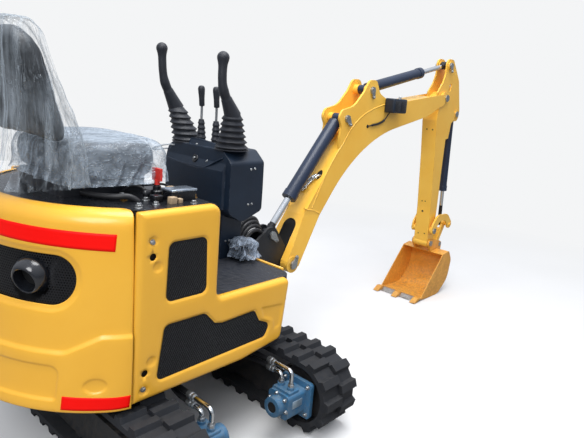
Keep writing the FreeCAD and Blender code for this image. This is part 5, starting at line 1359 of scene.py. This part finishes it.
def make_deck():
    """Screws, caps, switch, relay, fuse box and hoses beside the seat."""
    up = Vector((0, 0, 1))
    units = [
        lathe("filler", (-0.112, -0.262, 0.899), up, [
            (0.0215, 0.0), (0.0215, 0.010), (0.0258, 0.0105), (0.0258, 0.026), (0.0240, 0.0295), (0.0010, 0.0300)], 18),
        lathe("switch_body", (-0.196, -0.250, 0.899), up, [
            (0.0196, 0.0), (0.0196, 0.020), (0.0170, 0.0225), (0.0130, 0.0240), (0.0130, 0.0360), (0.0095, 0.0368),
            (0.0095, 0.040), (0.0010, 0.040)], 28),
        lathe("breather", (-0.243, -0.262, 0.899), up, [
            (0.0110, 0.0), (0.0110, 0.014), (0.0150, 0.015), (0.0150, 0.024), (0.0120, 0.0285), (0.0010, 0.030)], 24),
        rounded_block((-0.204, -0.345, 0.899), (-0.112, -0.292, 0.931), 0.003),
        rounded_block((-0.258, -0.332, 0.899), (-0.226, -0.302, 0.921), 0.003),
    ]
    made = piece("deck_units", joined("units", units), "unit_black", "upper")
    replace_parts(made, "deck_fittings")
    piece("fuse_box_lid", rounded_block((-0.207, -0.348, 0.930), (-0.109, -0.289, 0.9375), 0.0022), "tinned_lid",
          "upper")
    piece("deck_relay", rounded_block((-0.170, -0.284, 0.899), (-0.146, -0.262, 0.934), 0.0018), "relay_tan", "upper")
    piece("deck_terminal", joined("terminals", [
        rounded_block((-0.226, -0.372, 0.899), (-0.203, -0.351, 0.921), 0.002),
        rounded_block((-0.194, -0.370, 0.899), (-0.180, -0.354, 0.914), 0.002)]), "relay_tan", "upper")

    domes = [(Vector((x, y, 0.900)), up) for x, y in (
        (-0.336, -0.368), (-0.320, -0.345), (-0.285, -0.189), (-0.456, -0.070), (-0.265, -0.350), (-0.258, -0.284),
        (-0.150, -0.385), (-0.336, 0.368), (-0.456, 0.070), (-0.285, 0.189), (-0.150, 0.385), (-0.265, 0.350))]
    repeat("deck_screws", hex_bolt(0.014, 0.009, 1.7), domes, "bright_zinc", "upper")
    brass = [(Vector((x, y, 0.900)), up) for x, y in ((-0.095, -0.314), (-0.321, -0.262))]
    repeat("deck_yellow_bolts", hex_bolt(0.013, 0.012, 1.6), brass, "yellow_zinc", "upper")

    routes = {
        "deck_hose_long": ([(-0.397, -0.1495, 0.9110), (-0.391, -0.180, 0.9105), (-0.378, -0.215, 0.9105),
                            (-0.345, -0.262, 0.913), (-0.310, -0.285, 0.918), (-0.290, -0.292, 0.899)], 0.0095),
        "deck_hose_loop": ([(-0.222, -0.268, 0.899), (-0.232, -0.246, 0.922), (-0.246, -0.216, 0.934),
                            (-0.262, -0.186, 0.926), (-0.270, -0.158, 0.899)], 0.0050),
        "deck_wire": ([(-0.158, -0.290, 0.925), (-0.154, -0.240, 0.937), (-0.162, -0.185, 0.926),
                       (-0.176, -0.1495, 0.918)], 0.0038),
    }
    for name, (points, radius) in routes.items():
        line = smooth_line(points, 10)
        hose = piece(name, sweep(name, line, radius, 16), "hose_rubber", "upper", sharp=80.0)


# Hoses, cable and welds of the boom

WELD_LINE = [(1.363, 1.239), (1.275, 1.219), (1.166, 1.175), (1.081, 1.108), (1.032, 1.036), (0.982, 0.981),
             (0.919, 0.895), (0.862, 0.790), (0.827, 0.718)]
WELD_STEP = [(0.767, 0.724), (0.793, 0.714), (0.814, 0.710), (0.836, 0.708), (0.868, 0.694), (0.892, 0.684)]


def make_boom_details():
    """Weld beads, the cable hole with its fittings, the lamp's cable, and the lamp with its panes and bolt."""
    beads = []
    for side in (-1, 1):
        for line in (WELD_LINE, WELD_STEP):
            route = smooth_line([(x, side * 0.0582, z) for x, z in line], 8)
            beads.append(sweep("bead", route, 0.0042, 12))
    piece("boom_weld_beads", joined("beads", beads), "arm_paint", "boom", sharp=80.0)

    out = Vector((-0.8065, 0.0, 0.5911))
    along = Vector((0.5911, 0.0, 0.8065))
    across = Vector((0, 1, 0))
    hole = Vector((0.9045, -0.024, 0.8750))
    rings, faces = [], []
    count = 36
    for scale, height in ((1.0, -0.001), (1.0, 0.0012), (0.84, 0.0016), (0.80, 0.0008), (0.02, 0.0006)):
        for step in range(count):
            turn = 2 * math.pi * step / count
            rings.append(hole + along * (0.027 * scale * math.cos(turn)) + across * (0.0155 * scale * math.sin(turn))
                         + out * height)
    for index in range(4):
        for step in range(count):
            after = (step + 1) % count
            low, high = index * count, (index + 1) * count
            faces.append([low + step, low + after, high + after, high + step])
    faces.append(list(range(count))[::-1])
    faces.append([4 * count + step for step in range(count)])
    piece("cable_grommet", mesh_of("grommet", rings, faces), "shade_and_rubber_black", "boom")
    tubes, nuts = [], []
    for shift in (-0.007, 0.011):
        line = [hole + across * shift + out * 0.002 - along * 0.004,
                hole + across * shift + out * 0.014 - along * 0.012,
                Vector((0.884, -0.004 + shift, 0.846)) + out * 0.012,
                Vector((0.858, 0.013 + shift, 0.811)) + out * 0.011,
                Vector((0.838, 0.024 + shift, 0.784)) + out * 0.012]
        route = smooth_line(line, 8)
        tubes.append(sweep("tube", route, 0.0058, 14))
        way = (route[-1] - route[-4]).normalized()
        nuts.append(lathe("nut", route[-6], way, [(0.0092, 0.0), (0.0100, 0.0012), (0.0100, 0.0120), (0.0090, 0.0132)], 6))
        nuts.append(lathe("nut", route[9], way, [(0.0080, 0.0), (0.0088, 0.0012), (0.0088, 0.0080), (0.0080, 0.0092)], 6))
    piece("boom_port_tubes", joined("tubes", tubes), "hard_chrome", "boom", sharp=60.0)
    piece("boom_port_nuts", joined("nuts", nuts), "bright_zinc", "boom", smooth=False)

    route = [(1.402, -0.0760, 1.202), (1.391, -0.0690, 1.182), (1.373, -0.0662, 1.1588), (1.3457, -0.0662, 1.1451),
             (1.3062, -0.0662, 1.1347), (1.2748, -0.0662, 1.1310), (1.2420, -0.0650, 1.1250), (1.2230, -0.0590, 1.1207)]
    line = smooth_line(route, 10)
    cable = piece("lamp_cable", sweep("cable", line, 0.0030, 12), "hose_rubber", "boom", sharp=80.0)
    sleeve = sweep("sleeve", line[18:60], [0.0040] + [0.0056 + 0.0005 * (step % 3) for step in range(40)] + [0.0040], 16)
    piece("lamp_cable_sleeve", sleeve, "hose_rubber", "boom", sharp=80.0)
    grommet = lathe("grommet", (1.2250, -0.0598, 1.1213), (0, -1, 0), [
        (0.0092, 0.0), (0.0092, 0.0016), (0.0074, 0.0028), (0.0032, 0.0030)], 28)
    piece("lamp_cable_grommet", grommet, "shade_and_rubber_black", "boom")

    body = rounded_block((1.363, -0.122, 1.199), (1.498, -0.060, 1.276), 0.0085, 4)
    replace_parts(piece("lamp_body", body, "console_plastic", "boom", sharp=50.0), "work_lamp")
    panes = [rounded_block((low, -0.1232, 1.210), (low + 0.051, -0.1195, 1.264), 0.0014) for low in (1.376, 1.434)]
    piece("lamp_panes", joined("panes", panes), "unit_black", "boom")
    repeat("lamp_bolt", hex_bolt(0.013, 0.012), [(Vector((1.468, -0.088, 1.2755)), Vector((0, 0, 1)))], "bright_zinc",
           "boom")


def make_bracket_hoses():
    """The hydraulic hoses that arch from the platform into the bracket."""
    for index, (y, rise, radius) in enumerate((
            (0.018, 0.0, 0.0105), (0.004, -0.015, 0.0100), (-0.009, -0.031, 0.0095), (-0.022, -0.048, 0.0090))):
        line = smooth_line([(0.395, y, 0.560), (0.402, y, 0.622 + rise), (0.440, y, 0.682 + rise),
                            (0.498, y * 0.9, 0.696 + rise), (0.532, y * 0.8, 0.670 + rise), (0.541, y * 0.7, 0.618)], 10)
        hose = piece("bracket_hose_%d" % (index + 1), sweep("hose", line, radius, 18), "hose_rubber", "upper", sharp=80.0)
        way = Vector((0, 0, 1))
        crimp = lathe("crimp", line[0], way, [
            (radius * 1.20, 0.0), (radius * 1.28, 0.0012), (radius * 1.28, 0.024), (radius * 1.18, 0.026)], 20)
        piece("bracket_hose_crimp_%d" % (index + 1), crimp, "bright_zinc", "upper")


# Bolts, keepers and labels of the working parts

def keeper(place, side, reach, turn, length, finish_y):
    """A teardrop keeper plate over a pin's head, held by one bolt."""
    x, z = place
    out = Vector((0, side, 0))
    way = Vector((math.cos(turn), 0, math.sin(turn)))
    across = Vector((-way.z, 0, way.x))
    ring = []
    for step in range(18):
        angle = math.pi / 2 + math.pi * step / 17
        ring.append(Vector((x, 0, z)) + way * (reach * math.cos(angle)) + across * (reach * math.sin(angle)))
    small = reach * 0.55
    for step in range(12):
        angle = -math.pi / 2 + math.pi * step / 11
        ring.append(Vector((x, 0, z)) + way * (length + small * math.cos(angle)) + across * (small * math.sin(angle)))
    spots = [point + out * finish_y for point in ring] + [point + out * (finish_y + 0.004) for point in ring]
    count = len(ring)
    faces = [list(range(count))[::-1], list(range(count, 2 * count))]
    for index in range(count):
        after = (index + 1) % count
        faces.append([index, after, count + after, count + index])
    bolt = Vector((x, 0, z)) + way * length + out * (finish_y + 0.004)
    return mesh_of("keeper", spots, faces), (bolt, out)


# Tapped holes in the arm's rear face: place, radius, and the way the face looks
ARM_HOLES = [
    ((2.0047, 0.0147, 1.106), 0.0046, (-0.985, 0, -0.170)), ((2.0047, -0.0256, 1.106), 0.0046, (-0.985, 0, -0.170)),
    ((2.0758, 0.0162, 0.627), 0.0042, (-0.991, 0, -0.131)), ((2.0758, -0.0065, 0.629), 0.0042, (-0.991, 0, -0.131)),
    ((2.0834, 0.0072, 0.558), 0.0070, (-0.998, 0, -0.070)), ((2.0941, 0.0225, 0.400), 0.0042, (-0.998, 0, -0.070)),
    ((2.0937, -0.0236, 0.407), 0.0042, (-0.998, 0, -0.070)),
]

# Keeper plates: body, pin (x, z), Y of the face it lies on, radius, turn, length to its bolt
KEEPERS = [
    ("boom", (1.040, 1.157), 0.0665, 0.0175, -0.9, 0.036),
    ("boom", (1.234, 1.308), 0.0665, 0.0175, -1.35, 0.036),
    ("boom", (0.690, 0.459), 0.0935, 0.0200, 1.2, 0.040),
    ("arm", (2.096, 1.508), 0.0505, 0.0175, -1.3, 0.034),
    ("upper", (0.585, 0.609), 0.0420, 0.0180, -0.8, 0.036),
]


def make_fasteners():
    """Keeper plates with their bolts, motor bolts, the motors' end caps and blank label plates."""
    plates, bolts = {}, {}
    for body, place, face, radius, turn, length in KEEPERS:
        for side in (-1, 1):
            mesh, bolt = keeper(place, side, radius, turn, length, face)
            plates.setdefault(body, []).append(mesh)
            bolts.setdefault(body, []).append(bolt)
    for body in plates:
        piece("keeper_plates_" + body, joined("keepers", plates[body]), "bright_zinc", body)
        repeat("keeper_bolts_" + body, hex_bolt(0.010, 0.007), bolts[body], "bright_zinc", body)

    bolts = []
    rings, labels, ports, bores, ends = [], [], [], [], []
    for side in (-1, 1):
        inward = Vector((-side, 0, 0))
        for dy in (-0.056, 0.056):
            for dz in (-0.056, 0.056):
                bolts.append((Vector((side * 0.246, -0.540 + dy, 0.148 + dz)), inward))
        for step in range(6):
            turn = 2 * math.pi * step / 6 + 0.3
            bolts.append((Vector((side * 0.151, -0.540 + 0.0435 * math.cos(turn), 0.148 + 0.0435 * math.sin(turn))),
                          inward))
        rings.append(lathe("end_cap", (side * 0.120, -0.540, 0.148), inward, [
            (0.0375, -0.001), (0.0375, 0.003), (0.030, 0.0045), (0.022, 0.0045), (0.0205, 0.002), (0.001, 0.0018)], 36))
        for dy in (-0.024, 0.024):
            ports.append(lathe("port_nut", (side * 0.186, -0.540 + dy, 0.216), (0, 0, 1), [
                (0.0125, -0.001), (0.0125, 0.010), (0.0105, 0.012), (0.0088, 0.020)], 6))
    for side in (-1, 1):
        inward = Vector((-side, 0, 0))
        labels.append(rounded_block((side * 0.198 - 0.026, -0.5932, 0.142), (side * 0.198 + 0.026, -0.5860, 0.170), 0.0006))
        # A near-black disc in each end cap: painted shade of its bore
        bores.append(lathe("bore", (side * 0.1182, -0.540, 0.148), inward, [
            (0.0196, 0.0), (0.0196, 0.0010), (0.0150, 0.0012), (0.0110, 0.0002), (0.0010, 0.0001)], 32))
        for z, start in ((0.278, -0.478), (0.250, -0.478)):
            ends.append(lathe("ferrule", (side * 0.186, start, z), (0, 1, 0), [
                (0.0095, 0.0), (0.0118, 0.0015), (0.0118, 0.0090), (0.0108, 0.0100), (0.0108, 0.0130), (0.0132, 0.0145),
                (0.0132, 0.0330), (0.0120, 0.0350)], 24))
    piece("motor_labels", joined("labels", labels), "bare_aluminium", "undercarriage")
    piece("motor_cap_bores", joined("bores", bores), "shade_and_rubber_black", "undercarriage")
    piece("motor_hose_ferrules", joined("ferrules", ends), "bright_zinc", "undercarriage")
    for side, word in ((-1, "left"), (1, "right")):
        for z, name in ((0.278, "upper"), (0.250, "lower")):
            line = smooth_line([(side * 0.186, -0.446, z), (side * 0.186, -0.410, z), (side * 0.182, -0.370, z),
                                (side * 0.170, -0.330, z)], 10)
            hose = piece("motor_hose_%s_%s" % (name, word), sweep("hose", line, 0.0095, 16), "hose_rubber",
                         "undercarriage", sharp=80.0)
    # The tapped holes are shallow near-black dimples: painted shade of the holes
    holes = [lathe("hole", Vector(place) - Vector(way) * 0.0006, way, [
        (radius, 0.0), (radius, 0.0010), (radius * 0.8, 0.0012), (radius * 0.6, 0.0008), (0.0003, 0.0007)], 20)
             for place, radius, way in ARM_HOLES]
    piece("arm_holes", joined("holes", holes), "shade_and_rubber_black", "arm")
    repeat("motor_bolts", cap_screw(0.0068, 0.009), bolts, "bright_zinc", "undercarriage")
    piece("motor_end_caps", joined("end_caps", rings), "motor_enamel", "undercarriage")
    piece("port_nuts", joined("ports", ports), "bright_zinc", "undercarriage", smooth=False)


# Stage

def make_stage():
    """Floor, even sky, one large soft light and the camera at the photograph's viewpoint."""
    stage = bpy.context.scene.excavator_stage
    scene = bpy.context.scene
    shader = Shader("studio_floor")
    place = shader.add("TexCoord", output="Object")
    cloud = shader.add("TexNoise", {"Vector": place, "Scale": 1.2, "Detail": 3.0})
    tone = shader.blend(shader.share(cloud, 0.3, 0.7), linear("#E9E9E8"), linear("#E3E3E2"))
    camera = shader.add("LightPath", output="Is Camera Ray")
    tone = shader.blend(camera, linear("#8C8B89"), tone)
    matt = shader.add("BsdfPrincipled", {"Base Color": tone, "Roughness": 0.85})
    far = shader.add("VectorMath", {0: place, 1: (0.6, 0.0, 0.0)}, "Value", operation="DISTANCE")
    away = shader.math("MULTIPLY", shader.share(far, 1.4, 4.2), camera)
    bright = shader.add("Emission", {"Color": linear("#F4F5F6"), "Strength": 1.0})
    shader.finish(shader.add("MixShader", {0: away, 1: matt, 2: bright}))
    floor = mesh_of("floor", [(-30, -30, 0), (30, -30, 0), (30, 30, 0), (-30, 30, 0)], [[0, 1, 2, 3]])
    floor = piece("studio_floor", floor, "studio_floor", None, smooth=False)

    world = bpy.data.worlds.new("studio")
    scene.world = world
    world.use_nodes = True
    tree = world.node_tree
    tree.nodes.clear()
    output = tree.nodes.new("ShaderNodeOutputWorld")
    seen = tree.nodes.new("ShaderNodeBackground")
    seen.inputs["Color"].default_value = linear("#F4F5F6")
    seen.inputs["Strength"].default_value = 1.0
    light = tree.nodes.new("ShaderNodeBackground")
    light.inputs["Strength"].default_value = stage.sky
    way = tree.nodes.new("ShaderNodeTexCoord")
    parts = tree.nodes.new("ShaderNodeSeparateXYZ")
    rise = tree.nodes.new("ShaderNodeMapRange")
    rise.inputs["From Min"].default_value = -0.1
    rise.inputs["From Max"].default_value = 0.85
    dome = tree.nodes.new("ShaderNodeMix")
    dome.data_type = "RGBA"
    dome.inputs[6].default_value = linear("#767B82")
    dome.inputs[7].default_value = linear("#F1F5FF")
    tree.links.new(way.outputs["Generated"], parts.inputs[0])
    tree.links.new(parts.outputs["Z"], rise.inputs["Value"])
    tree.links.new(rise.outputs[0], dome.inputs[0])
    tree.links.new(dome.outputs[2], light.inputs["Color"])
    pick = tree.nodes.new("ShaderNodeMixShader")
    ray = tree.nodes.new("ShaderNodeLightPath")
    tree.links.new(ray.outputs["Is Camera Ray"], pick.inputs[0])
    tree.links.new(light.outputs[0], pick.inputs[1])
    tree.links.new(seen.outputs[0], pick.inputs[2])
    tree.links.new(pick.outputs[0], output.inputs[0])

    for name, place, target, power, width in (
            ("top_light", (0.2, -0.6, 4.4), (0.3, 0.0, 0.5), stage.key, 3.0),
            ("side_light", (-3.4, -2.2, 3.4), (0.0, 0.0, 0.5), stage.key * 0.62, 2.4)):
        lamp = bpy.data.lights.new(name, "AREA")
        lamp.energy = power
        lamp.shape = "DISK"
        lamp.size = width
        holder = bpy.data.objects.new(name, lamp)
        holder.location = place
        holder.rotation_euler = (Vector(target) - Vector(place)).to_track_quat("-Z", "Y").to_euler()
        scene.collection.objects.link(holder)

    lens = bpy.data.cameras.new("camera")
    lens.lens = stage.lens
    lens.sensor_width = 36.0
    lens.sensor_fit = "HORIZONTAL"
    lens.clip_start = 0.05
    lens.clip_end = 100.0
    camera = bpy.data.objects.new("camera", lens)
    right = Vector((0.6743, -0.7350, 0.0810))
    down = Vector((-0.1135, -0.2112, -0.9706))
    forward = right.cross(down).normalized()
    right.normalize()
    down = forward.cross(right).normalized()
    turn = Matrix((right, -down, -forward)).transposed()
    camera.matrix_world = Matrix.Translation(Vector(stage.eye)) @ turn.to_4x4()
    scene.collection.objects.link(camera)
    scene.camera = camera
    scene.view_settings.view_transform = "Standard"


# Operators and panel

class BuildOperator(bpy.types.Operator):
    """Runs one group's build function."""
    bl_options = {"REGISTER", "UNDO"}
    build = None

    def execute(self, context):
        type(self).build()
        return {"FINISHED"}


class OBJECT_OT_excavator_materials(BuildOperator):
    """Makes every material and dresses the CAD nodes."""
    bl_idname = "object.excavator_materials"
    bl_label = "Materials"

    @staticmethod
    def build():
        make_materials()
        dress_nodes()


class OBJECT_OT_excavator_tail(BuildOperator):
    """Bands, pressings, perforated sheet and exhaust tip of the rear cover."""
    bl_idname = "object.excavator_tail"
    bl_label = "Rear cover"
    build = staticmethod(make_tail)


class OBJECT_OT_excavator_sides(BuildOperator):
    """Grilles, borders and bolts of the side covers."""
    bl_idname = "object.excavator_sides"
    bl_label = "Side covers"
    build = staticmethod(make_side_covers)


class OBJECT_OT_excavator_seat(BuildOperator):
    """Seat cushions and their film."""
    bl_idname = "object.excavator_seat"
    bl_label = "Seat"
    build = staticmethod(make_seat)


class OBJECT_OT_excavator_controls(BuildOperator):
    """Boots, levers and screws of the console."""
    bl_idname = "object.excavator_controls"
    bl_label = "Controls"
    build = staticmethod(make_controls)


class OBJECT_OT_excavator_deck(BuildOperator):
    """Fittings on the deck."""
    bl_idname = "object.excavator_deck"
    bl_label = "Deck"
    build = staticmethod(make_deck)


class OBJECT_OT_excavator_boom(BuildOperator):
    """Welds, cable hole, lamp cable and hoses of the boom."""
    bl_idname = "object.excavator_boom"
    bl_label = "Boom details"

    @staticmethod
    def build():
        make_boom_details()
        make_bracket_hoses()


class OBJECT_OT_excavator_fasteners(BuildOperator):
    """Keeper plates, bolts and motor details."""
    bl_idname = "object.excavator_fasteners"
    bl_label = "Fasteners"
    build = staticmethod(make_fasteners)


class OBJECT_OT_excavator_stage(BuildOperator):
    """Floor, light and camera."""
    bl_idname = "object.excavator_stage"
    bl_label = "Stage"
    build = staticmethod(make_stage)


GROUPS = (
    OBJECT_OT_excavator_materials, OBJECT_OT_excavator_tail, OBJECT_OT_excavator_sides, OBJECT_OT_excavator_seat,
    OBJECT_OT_excavator_controls, OBJECT_OT_excavator_deck, OBJECT_OT_excavator_boom, OBJECT_OT_excavator_fasteners,
    OBJECT_OT_excavator_stage,
)


class VIEW3D_PT_excavator(bpy.types.Panel):
    """Lists the build steps in the sidebar."""
    bl_label = "Mini excavator"
    bl_idname = "VIEW3D_PT_excavator"
    bl_space_type = "VIEW_3D"
    bl_region_type = "UI"
    bl_category = "Mini excavator"

    def draw(self, context):
        for group in GROUPS:
            self.layout.operator(group.bl_idname)


SETTINGS = (("excavator_paint", PaintSettings), ("excavator_seat", SeatSettings),
            ("excavator_grille", GrilleSettings), ("excavator_stage", StageSettings))
CLASSES = tuple(kind for name, kind in SETTINGS) + GROUPS + (VIEW3D_PT_excavator,)


def register():
    for kind in CLASSES:
        bpy.utils.register_class(kind)
    for name, kind in SETTINGS:
        setattr(bpy.types.Scene, name, PointerProperty(type=kind))


def unregister():
    for name, kind in SETTINGS:
        delattr(bpy.types.Scene, name)
    for kind in reversed(CLASSES):
        bpy.utils.unregister_class(kind)


def main():
    register()
    for group in GROUPS:
        family, name = group.bl_idname.split(".")
        getattr(getattr(bpy.ops, family), name)()


if __name__ == "__main__":
    main()
